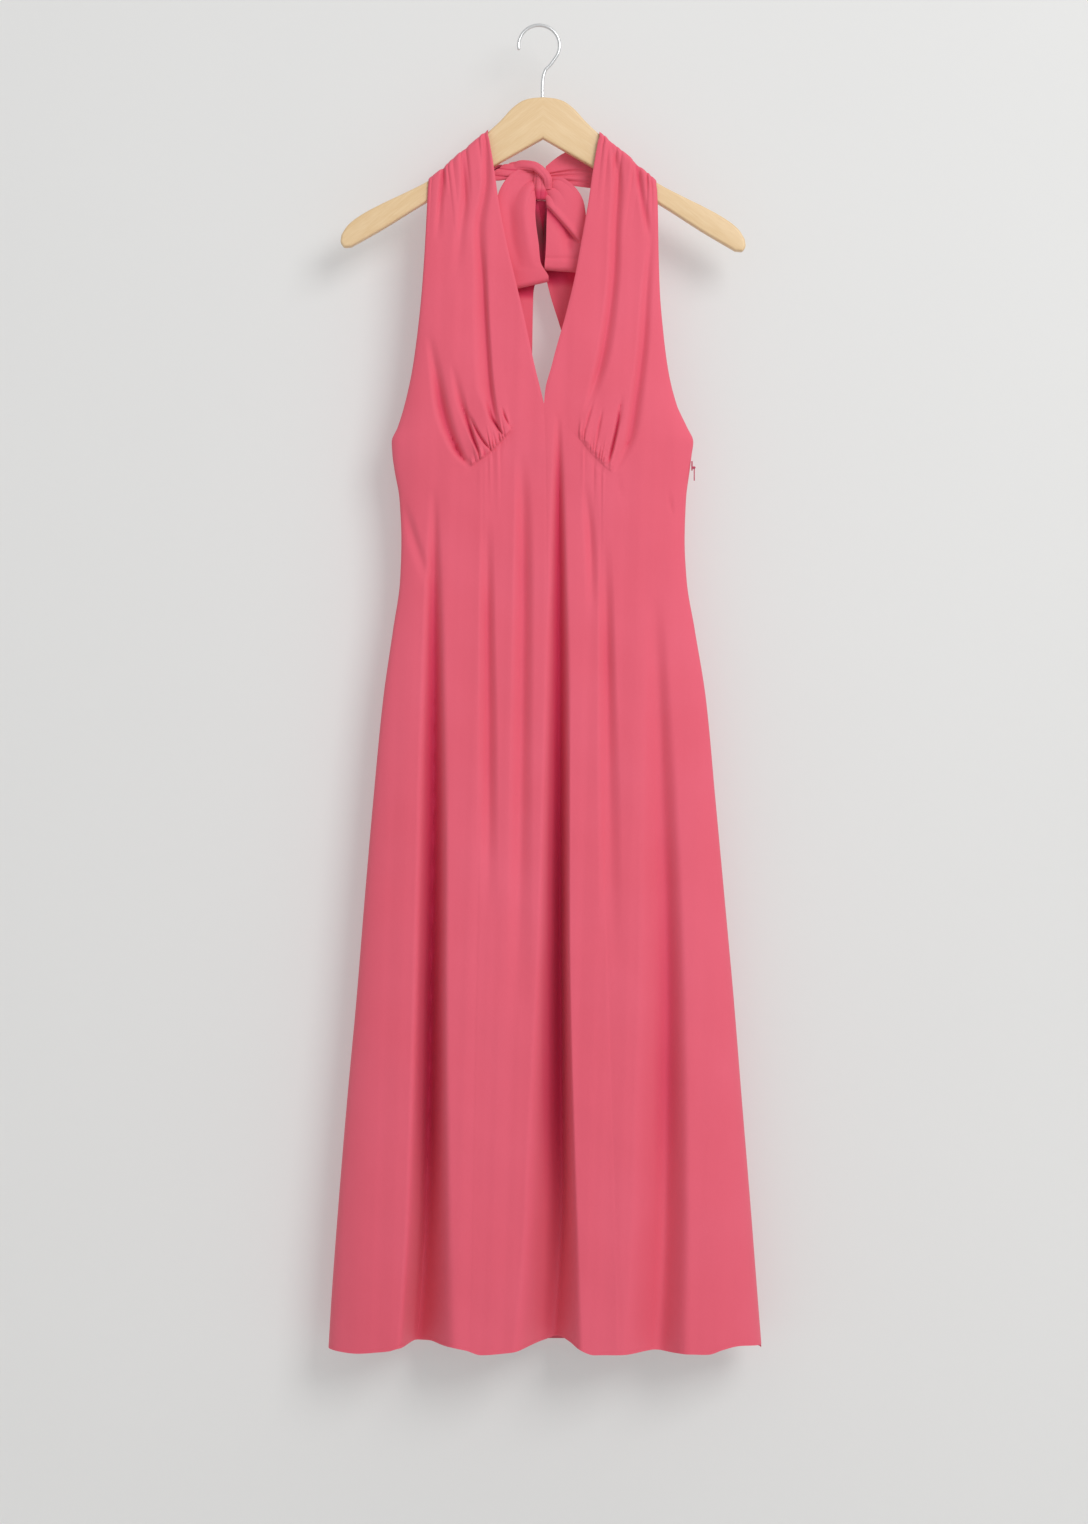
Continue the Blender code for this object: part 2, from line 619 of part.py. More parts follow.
def front_half(side, finish):
    """Half of the front: the bodice, and the side panel and the centre panel below it."""
    step = SEAM_GAP / 2 if side == "left" else -SEAM_GAP / 2
    half_slash = SLASH_GAP / 2
    edge, neck, princess = outline[side], neckline[side], seam["princess_" + side]
    outer_end, inner_end = np.array(SLASH[side][0]), np.array(SLASH[side][-1])
    level, v_height = outer_end[1], NECKLINE[-1].height

    # The line across the bust from the side seam to the V, with the slash in its middle
    side_end = np.array([edge(level), level])
    v_end = np.array([neck(v_height) - step, v_height])
    arm_line = side_end + fractions(ARM_COLUMNS, ARM_SPREAD)[:, None] * (outer_end - side_end)
    v_line = inner_end + fractions(NECK_COLUMNS)[:, None] * (v_end - inner_end)
    slash = path(SLASH[side], fractions(GATHER_COLUMNS))
    bust_line = np.concatenate([arm_line, slash[1:], v_line[1:]]) + (0, half_slash)

    # The bodice, from the strap's turn down to that line
    top_x = np.linspace(getattr(OUTLINE[0], side), getattr(NECKLINE[0], side), len(bust_line))
    top = np.stack([top_x, hanger_top(top_x) - TURN_DROP], -1)
    down = 1 - (1 - fractions(BODICE_ROWS)) ** BODICE_SPREAD
    arm_edge = long_edge(edge, top[0], bust_line[0, 1], down)
    neck_edge = long_edge(lambda z: neck(z) - step, top[-1], bust_line[-1, 1], down)
    bodice = patch(top, bust_line, arm_edge, neck_edge)
    outer, inner = wall(bodice[..., 0], bodice[..., 1], "front", front_folds, -1)
    gather(outer, inner)
    turn_outer, turn_inner = strap_turn(outer[0])
    turn = (np.concatenate([turn_outer, outer[:1]]), np.concatenate([turn_inner, inner[:1]]))
    cloth_piece("front_" + side, [turn, (outer, inner)], finish)

    # The side panel and the centre panel, parted where the princess seam starts on the slash
    side_slash, centre_slash = slash[:SIDE_SLASH_COLUMNS + 1].copy(), slash[SIDE_SLASH_COLUMNS:].copy()
    side_slash[-1, 0] -= step
    centre_slash[0, 0] += step
    side_top = np.concatenate([arm_line, side_slash[1:]]) - (0, half_slash)
    centre_top = np.concatenate([centre_slash, v_line[1:]]) - (0, half_slash)
    skirt_panel("front_" + side + "_side", side_top, edge, lambda z: princess(z) - step,
                SIDE_HEM_SPREAD, finish)
    skirt_panel("front_" + side + "_centre", centre_top, lambda z: princess(z) + step,
                lambda z: seam["centre"](z) - step, 1.0, finish)


def back_panel(finish):
    """The back, from side seam to side seam."""
    turn = np.sin(np.linspace(-math.pi / 2, math.pi / 2, BACK_COLUMNS + 1))
    share = 0.5 + 0.5 * np.sign(turn) * np.abs(turn) ** BACK_CROWD
    upper = BACK_TOP_SIDE - BACK_TOP_DIP * (1 - (2 * share - 1) ** 2)
    for band in BANDS:
        z = upper[None, :] + fractions(band.rows)[:, None] * (band.floor - upper[None, :])
        x = outline["left"](z) + share[None, :] * (outline["right"](z) - outline["left"](z))
        cloth_piece("back_" + band.name, [wall(x, z, "back", back_folds, 1)], finish)
        upper = np.full_like(share, band.floor - SEAM_GAP)


def tie(side, finish):
    """A strap's top behind the hanger, gathered from the strap's width into a band at the knot."""
    strap = np.linspace(getattr(OUTLINE[0], side), getattr(NECKLINE[0], side), TIE_COLUMNS + 1)
    start_z = hanger_top(strap) - TURN_DROP - TURN_BACK - SEAM_GAP
    end = TIES[side]
    outward = -1 if side == "left" else 1
    knot_side = KNOT_X + outward * (KNOT_HALF[0] + KNOT_FOLD + TIE_CLEAR)
    end_z = np.linspace(end.bottom, end.top, TIE_COLUMNS + 1)
    run = fractions(TIE_ROWS)[:, None]
    x = strap + run ** TIE_EASE * (knot_side - strap)
    z = start_z + run ** TIE_EASE * (end_z - start_z)
    middle = STRAP_CLEAR - WALL / 2
    gathers = np.cos(math.pi * np.arange(TIE_COLUMNS + 1)) * TIE_GATHER * run
    y = middle + (end.depth - middle) * run ** TIE_DEPTH_EASE + gathers
    return cloth_piece("tie_" + side, [thicken(np.stack([x, y, z], -1))], finish)


def knot(finish):
    """The knot: an upright lump with the wrapped band's folds winding round it."""
    points = []
    for level in np.linspace(-KNOT_TRIM, KNOT_TRIM, KNOT_LEVELS + 1):
        size = (1 - abs(level) ** 4) ** 0.25
        for angle in np.linspace(0, 2 * math.pi, KNOT_POINTS, endpoint=False):
            out = KNOT_FOLD * size * math.cos(KNOT_FOLDS * angle + KNOT_WIND * level)
            x = KNOT_X + (KNOT_HALF[0] * size + out) * math.cos(angle)
            y = KNOT_DEPTH + (KNOT_HALF[1] * size + out) * math.sin(angle)
            points.append((x, y, KNOT_Z + KNOT_HALF[2] * level))
    top = KNOT_LEVELS * KNOT_POINTS
    faces = [tuple(range(KNOT_POINTS)), tuple(range(top, top + KNOT_POINTS))]
    for start in range(0, top, KNOT_POINTS):
        for turn in range(KNOT_POINTS):
            a, b = start + turn, start + (turn + 1) % KNOT_POINTS
            faces.append((a, b, b + KNOT_POINTS, a + KNOT_POINTS))
    return solid("bow_knot", points, faces, finish)


def loop(side, finish):
    """One loop of the bow: a band that goes down in front, bends, and comes up behind."""
    curve = columns_of(LOOPS[side], "along")
    share = fractions(LOOP_COLUMNS)

    def line(along, face):
        x = curve["outer_x"](along) + share * (curve["inner_x"](along) - curve["outer_x"](along))
        z = curve["outer_z"](along) + share * (curve["inner_z"](along) - curve["outer_z"](along))
        puff = LOOP_PUFF[face] * np.sin(math.pi * share) * math.sin(math.pi * along)
        return np.stack([x, curve[face](along) + puff, z], -1)

    down = fractions(LOOP_ROWS)
    low_front, low_back = line(1.0, "front"), line(1.0, "back")
    middle, radius = (low_front + low_back) / 2, (low_back - low_front)[:, 1] / 2
    bends = []
    for angle in np.linspace(0, math.pi, BEND_ROWS + 2)[1:-1]:
        bend = middle.copy()
        bend[:, 1] -= radius * math.cos(angle)
        bend[:, 2] -= radius * math.sin(angle)
        bends.append(bend)
    grid = [line(a, "front") for a in down] + bends + [line(a, "back") for a in down[::-1]]
    return cloth_piece("bow_loop_" + side, [thicken(np.array(grid))], finish)


def tail(side, finish):
    """One tail of the bow, which hangs from the knot behind the loops."""
    curve = columns_of(TAILS[side])
    top, bottom = TAILS[side][0].height, TAILS[side][-1].height
    z = np.concatenate([np.linspace(top, TAIL_OPEN, TAIL_TOP_ROWS + 1),
                        np.linspace(TAIL_OPEN, bottom, TAIL_LOW_ROWS + 1)[1:]])[:, None]
    share = fractions(TAIL_COLUMNS)[None, :]
    x = curve["left"](z) + share * (curve["right"](z) - curve["left"](z))
    grown = np.clip((RIPPLE_FROM - z) / RIPPLE_OVER, 0, 1)
    y = curve["depth"](z) + TAIL_RIPPLE * np.sin(2 * math.pi * share) * grown
    return cloth_piece("bow_tail_" + side, [thicken(np.stack([x, y, z + 0 * share], -1))], finish)


def wooden_hanger(finish):
    """The wood: its outline cut from a flat board, with rounded edges and a hole for the hook."""
    runs = [rib.run for rib in HANGER_TOP]
    runs = sorted(runs + [(a + b) / 2 for a, b in zip(runs, runs[1:])])
    half = [*(Rib(run, float(level_top(run))) for run in runs), *HANGER_END, *HANGER_LOWER]
    around = [(rib.run, rib.top) for rib in half] + [(-rib.run, rib.top) for rib in half[-2:0:-1]]
    shape = bmesh.new()
    corners = []
    for run, top in around:
        place = (HANGER_CENTRE + run, -HANGER_THICK / 2, top - tilt_drop(run))
        corners.append(shape.verts.new([c * MM for c in place]))
    board = shape.faces.new(corners)
    pushed = bmesh.ops.extrude_face_region(shape, geom=[board])
    for vertex in (v for v in pushed["geom"] if isinstance(v, bmesh.types.BMVert)):
        vertex.co.y += HANGER_THICK * MM
    bmesh.ops.recalc_face_normals(shape, faces=shape.faces[:])
    wood = add_form("hanger_wood", shape, finish)
    rounded = wood.modifiers.new("rounded edges", "BEVEL")
    rounded.width = HANGER_EDGE * MM
    rounded.segments = 2
    rounded.limit_method = "ANGLE"
    rounded.angle_limit = math.radians(60)
    top = HANGER_TOP[0].top + HANGER_THICK
    drill = bmesh.new()
    bmesh.ops.create_cone(drill, cap_ends=True, segments=14, radius1=HOLE_RADIUS * MM,
                          radius2=HOLE_RADIUS * MM, depth=(top - HOLE_END) * MM)
    bmesh.ops.translate(drill, verts=drill.verts[:], vec=(STEM_X * MM, 0, (top + HOLE_END) / 2 * MM))
    combine(wood, "hook_hole", drill, finish, "DIFFERENCE")
    return wood


def wire_hook(finish):
    """The hook: round wire, from its free end over the arc and down its bent neck into the wood."""
    centre = -(HOOK_RADIUS - WIRE_RADIUS)
    route = []
    for degrees in np.linspace(*HOOK_ENDS, HOOK_STEPS + 1):
        angle = math.radians(degrees)
        route.append((HOOK_RADIUS * math.cos(angle), centre + HOOK_RADIUS * math.sin(angle)))
    route += [tuple(p) for p in path((route[-1], *HOOK_NECK), fractions(NECK_STEPS))[1:]]
    curve = bpy.data.curves.new("hanger_hook", "CURVE")
    curve.dimensions = "3D"
    curve.bevel_depth = WIRE_RADIUS * MM
    curve.bevel_resolution = 2
    curve.use_fill_caps = True
    spline = curve.splines.new("POLY")
    spline.points.add(len(route) - 1)
    for point, (x, z) in zip(spline.points, route):
        point.co = (x * MM, 0, z * MM, 1)
    return add_object("hanger_hook", curve, finish)


def box(low, high):
    """A block between two corners, as a bmesh."""
    form = bmesh.new()
    bmesh.ops.create_cube(form, size=1.0)
    bmesh.ops.scale(form, vec=(Vector(high) - Vector(low)) * MM, verts=form.verts[:])
    bmesh.ops.translate(form, vec=(Vector(high) + Vector(low)) / 2 * MM, verts=form.verts[:])
    return form


def rod(radius, length, middle, sides):
    """A round rod along Y, as a bmesh."""
    form = bmesh.new()
    bmesh.ops.create_cone(form, cap_ends=True, segments=sides, radius1=radius * MM,
                          radius2=radius * MM, depth=length * MM)
    bmesh.ops.rotate(form, verts=form.verts[:], matrix=Matrix.Rotation(math.pi / 2, 3, "X"))
    bmesh.ops.translate(form, verts=form.verts[:], vec=Vector(middle) * MM)
    return form


def zip_slider(finish):
    """The slider's body with two ears and a bar between them, all one casting."""
    thick, wide, tall = SLIDER_SIZE
    body = add_form("zip_slider", box((ZIP_X - thick, ZIP_Y - wide / 2, SLIDER_Z - tall / 2),
                                      (ZIP_X, ZIP_Y + wide / 2, SLIDER_Z + tall / 2)), finish)
    far = ZIP_X + BAR_OUT + BAR_RADIUS + EAR_PAST
    outside = wide / 2 - EAR_INSET
    for name, low, high in (("ear_front", -outside, EAR_THICK - outside),
                            ("ear_back", outside - EAR_THICK, outside)):
        ear = box((ZIP_X - thick / 2, ZIP_Y + low, BAR_Z - EAR_HALF), (far, ZIP_Y + high, BAR_Z + EAR_HALF))
        combine(body, name, ear, finish, "UNION")
    bar = rod(BAR_RADIUS, wide - EAR_THICK, (ZIP_X + BAR_OUT, ZIP_Y, BAR_Z), 12)
    combine(body, "bar", bar, finish, "UNION")
    return body


def zip_pull(finish):
    """The pull tab, about the bar's middle: a slim drop-shaped tab, and an eye round the bar."""
    points, faces = [], []
    thick = TAB_THICK / 2
    for row in range(TAB_ROWS + 1):
        fall = row / TAB_ROWS
        z = -TAB_START - fall * (TAB_LENGTH - TAB_START)
        width = TAB_WIDTH / 2 * (TAB_NARROW + TAB_SWELL * math.sin(math.pi * TAB_SWELL_END * fall))
        points += [(-thick, -width, z), (thick, -width, z), (thick, width, z), (-thick, width, z)]
    for row in range(TAB_ROWS):
        for k in range(4):
            a, b = 4 * row + k, 4 * row + (k + 1) % 4
            faces.append((a, b, b + 4, a + 4))
    faces += [(0, 1, 2, 3), tuple(4 * TAB_ROWS + k for k in range(4))]
    tab = solid("zip_pull", points, faces, finish)
    tab.location = Vector((ZIP_X + BAR_OUT, ZIP_Y, BAR_Z)) * MM
    combine(tab, "eye", rod(EYE_OUTER, TAB_WIDTH, (0, 0, 0), 16), finish, "UNION")
    combine(tab, "eye_hole", rod(EYE_INNER, 2 * TAB_WIDTH, (0, 0, 0), 16), finish, "DIFFERENCE")
    return tab


def build():
    for old in list(bpy.data.objects):
        bpy.data.objects.remove(old)
    crepe = material("coral crepe", (0.75, 0.13, 0.18), 0.75)
    wood = material("pale lacquered wood", (0.79, 0.60, 0.37), 0.45)
    wire = material("bright steel wire", (0.72, 0.72, 0.72), 0.25, 1.0)
    zinc = material("coral lacquered zinc", (0.66, 0.10, 0.15), 0.4)
    wooden_hanger(wood)
    wire_hook(wire)
    for side in ("left", "right"):
        front_half(side, crepe)
        tie(side, crepe)
        loop(side, crepe)
        tail(side, crepe)
    back_panel(crepe)
    knot(crepe)
    zip_slider(zinc)
    zip_pull(zinc)


build()
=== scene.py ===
# %% [markdown]
# # A halter dress on a wooden hanger
#
# The dress hangs flat by its two gathered straps. They go over a wooden hanger and are tied in a bow
# behind it. The solid model has every cut piece as a rigid wall at its real size. This lesson dresses
# those walls: it works out the same surfaces on a much finer grid, gives them thin cloth, folds,
# gathers, seams and a stitched hem, and finishes every surface with a material made from nodes.

import math
from collections import namedtuple

import bmesh
import bpy
import numpy as np
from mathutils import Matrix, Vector


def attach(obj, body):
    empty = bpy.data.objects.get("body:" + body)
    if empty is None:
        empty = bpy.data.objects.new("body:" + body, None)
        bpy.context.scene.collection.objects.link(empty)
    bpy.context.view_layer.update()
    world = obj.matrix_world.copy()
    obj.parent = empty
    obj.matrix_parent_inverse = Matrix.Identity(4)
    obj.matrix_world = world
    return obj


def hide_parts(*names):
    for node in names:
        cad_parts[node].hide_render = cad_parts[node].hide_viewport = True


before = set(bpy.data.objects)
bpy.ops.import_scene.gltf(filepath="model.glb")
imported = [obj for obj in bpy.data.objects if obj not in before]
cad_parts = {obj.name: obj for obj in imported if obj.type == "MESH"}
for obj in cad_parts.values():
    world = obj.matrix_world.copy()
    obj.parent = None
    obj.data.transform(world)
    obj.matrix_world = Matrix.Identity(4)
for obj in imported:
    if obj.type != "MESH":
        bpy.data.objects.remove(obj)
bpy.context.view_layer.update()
MM = 0.001
print("nodes:", ", ".join(sorted(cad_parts)))

# %% [markdown]
# ## Tables and objects
#
# Sizes that belong together are kept as a table of rows with named columns, as a maker would note them.
# A mesh, a camera or a lamp only shows once an object carries it into the scene. Both come up again and
# again, so each is one small function.

# %% Two helpers
def table(columns, *rows):
    """Rows of sizes with named columns."""
    row = namedtuple("Row", columns)
    return [row(*sizes) for sizes in rows]


def show(name, data):
    """A new object at the origin, linked to the scene."""
    made = bpy.data.objects.new(name, data)
    bpy.context.scene.collection.objects.link(made)
    return made


print("a row of a table:", table("width height", (477, 1457))[0])

# %% [markdown]
# ## The camera
#
# The picture is 1088 by 1524 pixels, and a pixel is 1.10 mm wide at the hanger. The camera stands
# 3 m in front of the dress, level, so a lens follows from the height of the picture at that distance.
# A level camera keeps the side seams straight and shows the hem's waves by their depth alone.

# %% Camera
PICTURE_HIGH = 1524 * 1.10
CAMERA_AT = (5.5, -3000.0, -808.5)
SENSOR = 36.0

lens = bpy.data.cameras.new("camera")
lens.sensor_width = SENSOR
lens.lens = SENSOR * -CAMERA_AT[1] / PICTURE_HIGH
lens.clip_start, lens.clip_end = 0.05, 50
camera = show("camera", lens)
camera.location = [c * MM for c in CAMERA_AT]
camera.rotation_euler = (math.pi / 2, 0, 0)
bpy.context.scene.camera = camera
print(f"lens {lens.lens:.1f} mm")


# %% [markdown]
# ## Nodes and colours
#
# Colours are picked as sRGB hex values, as a paint chart gives them. A renderer adds light in linear
# numbers, so one function turns hex into linear. Another adds a node with its settings and its links,
# and every material below is built with it. Patterns read Object coordinates, which are in metres here.

# %% Helpers for materials
def linear(code):
    """A linear colour from an sRGB hex value such as #e06576."""
    parts = [int(code[i:i + 2], 16) / 255 for i in (1, 3, 5)]
    return [c / 12.92 if c <= 0.04045 else ((c + 0.055) / 1.055) ** 2.4 for c in parts] + [1.0]


def feed(tree, node, inputs):
    """Gives a node's inputs numbers or other nodes' sockets, by name or place in the list."""
    for name, value in inputs.items():
        if isinstance(value, bpy.types.NodeSocket):
            tree.links.new(value, node.inputs[name])
        else:
            node.inputs[name].default_value = value


def put(tree, kind, inputs=None, **settings):
    """Adds a node with its settings and its inputs."""
    made = tree.nodes.new(kind)
    for name, value in settings.items():
        setattr(made, name, value)
    feed(tree, made, inputs or {})
    return made


def new_material(name, shader):
    """A material with one Principled shader of the given settings, and the place its patterns read."""
    material = bpy.data.materials.new(name)
    material.use_nodes = True
    tree = material.node_tree
    tree.nodes.clear()
    principled = put(tree, "ShaderNodeBsdfPrincipled", shader)
    put(tree, "ShaderNodeOutputMaterial", {"Surface": principled.outputs["BSDF"]})
    return material, tree, principled, put(tree, "ShaderNodeTexCoord").outputs["Object"]


def blend_colours(tree, share, first, second):
    """A colour between two hex colours, by a share from 0 to 1."""
    mix = put(tree, "ShaderNodeMix", {0: share}, data_type="RGBA")
    mix.inputs[6].default_value = linear(first)
    mix.inputs[7].default_value = linear(second)
    return mix.outputs[2]


print("coral in linear numbers:", np.round(linear("#dd566e"), 3))

# %% [markdown]
# ## Viscose crepe
#
# The cloth is a viscose crepe: its yarns are twisted so hard that they crinkle the weave into tiny
# pebbles, about half a millimetre apart. That breaks up the gloss, so it looks soft and matt, with a
# faint light bloom where it turns away. The pebbles are drawn at 1.4 mm, coarser than they are, so
# that some of them still show in the picture. A slow change in tone stands for the way the dye takes.
# Shade in the folds is painted into the colour too.

# %% Crepe
PEBBLE = 1.4  # mm, drawn coarser than the real 0.5
SLUB = (3.5, 60.0)  # width and length of the yarns' slow unevenness, mm
SLUB_SHARE = 0.1  # of the change in tone that the yarns give, beside the dye's
PAINTED_SHADE_SHOWS = (0.4, 0.95)  # the painted shade at which the colour starts to deepen, and is deep
DARKEST_SHADE = 1.6  # the painted shade at which it is darkest, deep inside the bow


def crepe_material(name, dark, light, deep, darkest_shade_colour):
    """Crepe between two close tones, painted with shade in its folds: the deep colour, and the darkest
    beyond.
    """
    material, tree, cloth, place = new_material(name, {
        "IOR": 1.45, "Specular IOR Level": 0.9, "Sheen Weight": 0.12, "Sheen Roughness": 0.6,
        "Sheen Tint": linear("#ffe3e6")})
    pebbles = put(tree, "ShaderNodeTexNoise", {
        "Vector": place, "Scale": 1000 / PEBBLE, "Detail": 3.0, "Roughness": 0.6}).outputs[0]
    stretched = put(tree, "ShaderNodeMapping", {
        "Vector": place, "Scale": (1000 / SLUB[0], 1000 / SLUB[0], 1000 / SLUB[1])}).outputs[0]
    slubs = put(tree, "ShaderNodeTexNoise", {"Vector": stretched, "Scale": 1.0, "Detail": 2.0}).outputs[0]
    tone = put(tree, "ShaderNodeTexNoise", {"Vector": place, "Scale": 9.0, "Detail": 3.0}).outputs[0]
    both = put(tree, "ShaderNodeMath", {
        0: slubs, 1: SLUB_SHARE, 2: tone}, operation="MULTIPLY_ADD").outputs[0]
    share = put(tree, "ShaderNodeMapRange", {"Value": both, "From Min": 0.4, "From Max": 0.9}).outputs[0]
    rough = put(tree, "ShaderNodeMapRange", {"Value": pebbles, "To Min": 0.7, "To Max": 0.9}).outputs[0]
    bump = put(tree, "ShaderNodeBump", {"Height": pebbles, "Strength": 0.3, "Distance": 0.0002})
    # Painted shade: the colour turns deep, then darkest, by the shade kept on the points
    painted_shade = put(tree, "ShaderNodeAttribute", attribute_name="painted_shade").outputs["Fac"]
    shading_share = put(tree, "ShaderNodeMapRange", {
        "Value": painted_shade, "From Min": PAINTED_SHADE_SHOWS[0], "From Max": PAINTED_SHADE_SHOWS[1]},
        interpolation_type="SMOOTHSTEP").outputs[0]
    inside_shade = put(tree, "ShaderNodeMapRange", {
        "Value": painted_shade, "From Min": 1.0, "From Max": DARKEST_SHADE}).outputs[0]
    shaded = put(tree, "ShaderNodeMix", {
        0: shading_share, 6: blend_colours(tree, share, dark, light),
        7: blend_colours(tree, inside_shade, deep, darkest_shade_colour)}, data_type="RGBA")
    feed(tree, cloth, {"Base Color": shaded.outputs[2], "Roughness": rough, "Normal": bump.outputs[0]})
    return material


# The last two colours are painted shade, for the insides of the folds and of the bow
crepe = crepe_material("coral viscose crepe", "#da5067", "#dd566e", "#c60648", "#78001e")
print("made", crepe.name)

# %% [markdown]
# ## The sizes of the dress
#
# These tables are the pattern: the outline of the flat dress, the two inner edges of the straps, the
# seams, the slash under each bust, the depth at each height, and the run of each large fold. They are
# the sizes that the solids have, in millimetres from the top of the hook, with the height negative.
# Only the thin cloth has the small creases and the hem's waves, and its folds keep a finer shape.

# %% Outline, straps and seams, in millimetres
HEM = -1453.0
SEAM_GAP = 0.3  # between the front and the back, at their edges
# Where the armhole edges run down to the underarm at -456, and the side seams below it
OUTLINE = table(
    "height left right", (-165, -121.4, 128.8), (-200, -123, 130.4), (-245, -125.4, 131.2),
    (-290, -128.6, 132.6), (-333, -133.1, 136.2), (-377, -139.4, 142), (-415, -147.8, 151.4),
    (-440, -155.6, 163), (-456, -162.2, 169.9), (-471, -161.4, 168), (-487, -159.2, 166),
    (-520, -153.6, 161.9), (-565, -151.6, 160.4), (-608, -153, 162.6), (-663, -160.8, 171.6),
    (-740, -171.8, 184), (-850, -182.6, 194.4), (-960, -192.2, 204.6), (-1070, -201.2, 214.6),
    (-1180, -211.4, 223.4), (-1290, -220.6, 232.4), (-1400, -228.8, 240.9), (-1453, -232, 245),
)
# The inner edges of the two straps, down to the point of the V
NECKLINE = table(
    "height left right", (-118, -56, 66.4), (-156, -49.5, 59.8), (-195, -44, 54), (-235, -36.4, 47),
    (-275, -27.1, 39.7), (-316, -17.5, 30), (-355, -9, 19), (-377, -4.2, 13.2), (-399, 1.4, 7.2),
    (-416, 5.4, 5.4),
)
# The long seams of the front
SEAMS = table(
    "height princess_left centre princess_right", (-416, -61.6, 5.4, 70), (-480, -61.6, 7.5, 69),
    (-640, -62, 8.8, 67.6), (-900, -66, 6.5, 72), (-1180, -71, 1.9, 80), (-1453, -76, -5.8, 88),
)
# The gathered slash under each bust, from its outer end to its inner end, as (x, height)
SLASH = {"left": ((-75.0, -486.0), (-53.9, -471.0), (-28.9, -445.5)),
         "right": ((81.1, -493.9), (62.7, -477.5), (41.8, -453.2))}
print(f"the hem is {OUTLINE[-1].right - OUTLINE[-1].left:.0f} mm wide")

# %% Depths and the hem's waves
# How deep the dress is: the side seam's depth, and how far the front and back stand off it
SECTIONS = table(
    "height side front back", (-118, -8.6, 3.2, 0), (-200, -8.6, 3.4, 0), (-260, -8.2, 5.6, 0),
    (-330, -5.6, 10, 0), (-400, -1, 15, 0), (-456, 2.4, 18, 12), (-520, 3, 16, 13), (-600, 3, 15, 14.5),
    (-700, 3.4, 17.5, 18.5), (-850, 4, 23, 26), (-1070, 4.5, 31, 35), (-1290, 5, 38, 42),
    (-1453, 5, 42, 46),
)
# The front hem's waves: how far its edge hangs above level
HEM_WAVES = table(
    "x lift", (-232, 0), (-204, -1.5), (-177, 1), (-163, 3), (-152, 6), (-142, 6), (-133, 5), (-115, 8),
    (-98, 8), (-80, 5), (-63, 0), (-45, 1), (-27, 3), (-10, 6), (8, 7), (25, 11), (34, 10), (43, 6),
    (60, 0), (90, 0), (122, 0), (140, -1), (157, 0), (184, -1), (201, 3.5), (219, 6.5), (245, 4),
)
print(f"the hem is {SECTIONS[-1].front + SECTIONS[-1].back:.0f} mm deep")


# %% Folds of the skirt and the waist
def folds(**runs):
    """Folds by name, each with its run: where it lies, how deep it is, and its reach to each side."""
    return {name: table("height x depth reach_left reach_right", *rows) for name, rows in runs.items()}


# The front's folds, as troughs, from the top of each down
FRONT_FOLDS = folds(
    centre=(
        (-425, 20.6, 0, 4, 4), (-500, 21.5, 7, 8, 7), (-740, 22.6, 22, 17, 12), (-1000, 23.5, 40, 26, 11),
        (-1290, 25, 53, 42, 17), (-1453, 16, 57, 46, 32)),
    left=(
        (-510, -115, 0, 6, 6), (-640, -115, 10, 12, 11), (-850, -116, 26, 17, 17),
        (-1070, -119.5, 41, 18, 21), (-1290, -124, 51, 20, 29), (-1453, -134, 55, 20, 44)),
    left_princess=(
        (-540, -57, 0, 9, 9), (-660, -56.5, 6, 10, 10), (-800, -55.5, 6.5, 12, 12),
        (-980, -55, 0, 12, 12)),
    left_inner=(
        (-470, -19, 0, 9, 9), (-540, -18, 5, 10, 12), (-620, -17.5, 7, 12, 13), (-800, -19, 6.5, 14, 14),
        (-1100, -22, 0, 16, 16)),
    right_princess=(
        (-560, 72.5, 0, 9, 9), (-700, 74.5, 6.5, 11, 11), (-860, 77, 5.5, 14, 14), (-1020, 79, 0, 14, 14)),
    right_side=(
        (-620, 126, 0, 12, 12), (-850, 135, 12, 26, 18), (-1070, 140, 21, 34, 22),
        (-1290, 138, 27, 40, 27), (-1453, 130, 29, 42, 34)),
)
# Small creases of the waist
WAIST_FOLDS = folds(
    right_waist=(
        (-500, 50, 0, 8, 8), (-560, 56, 3.6, 10, 9), (-650, 59, 0, 10, 10)),
    left_waist=(
        (-520, -150, 0, 10, 8), (-565, -136, 3.2, 14, 8), (-620, -118, 0, 10, 8)),
    right_crease=(
        (-512, 140, 0, 3, 3), (-526, 145, 1.8, 4, 3), (-540, 149, 0, 3, 3)),
    right_slash_end=(
        (-494, 84, 0, 3, 3), (-506, 89, 1.6, 4, 3), (-522, 93, 0, 3, 3)),
)
print(len(FRONT_FOLDS), "folds in the skirt and", len(WAIST_FOLDS), "creases in the waist")

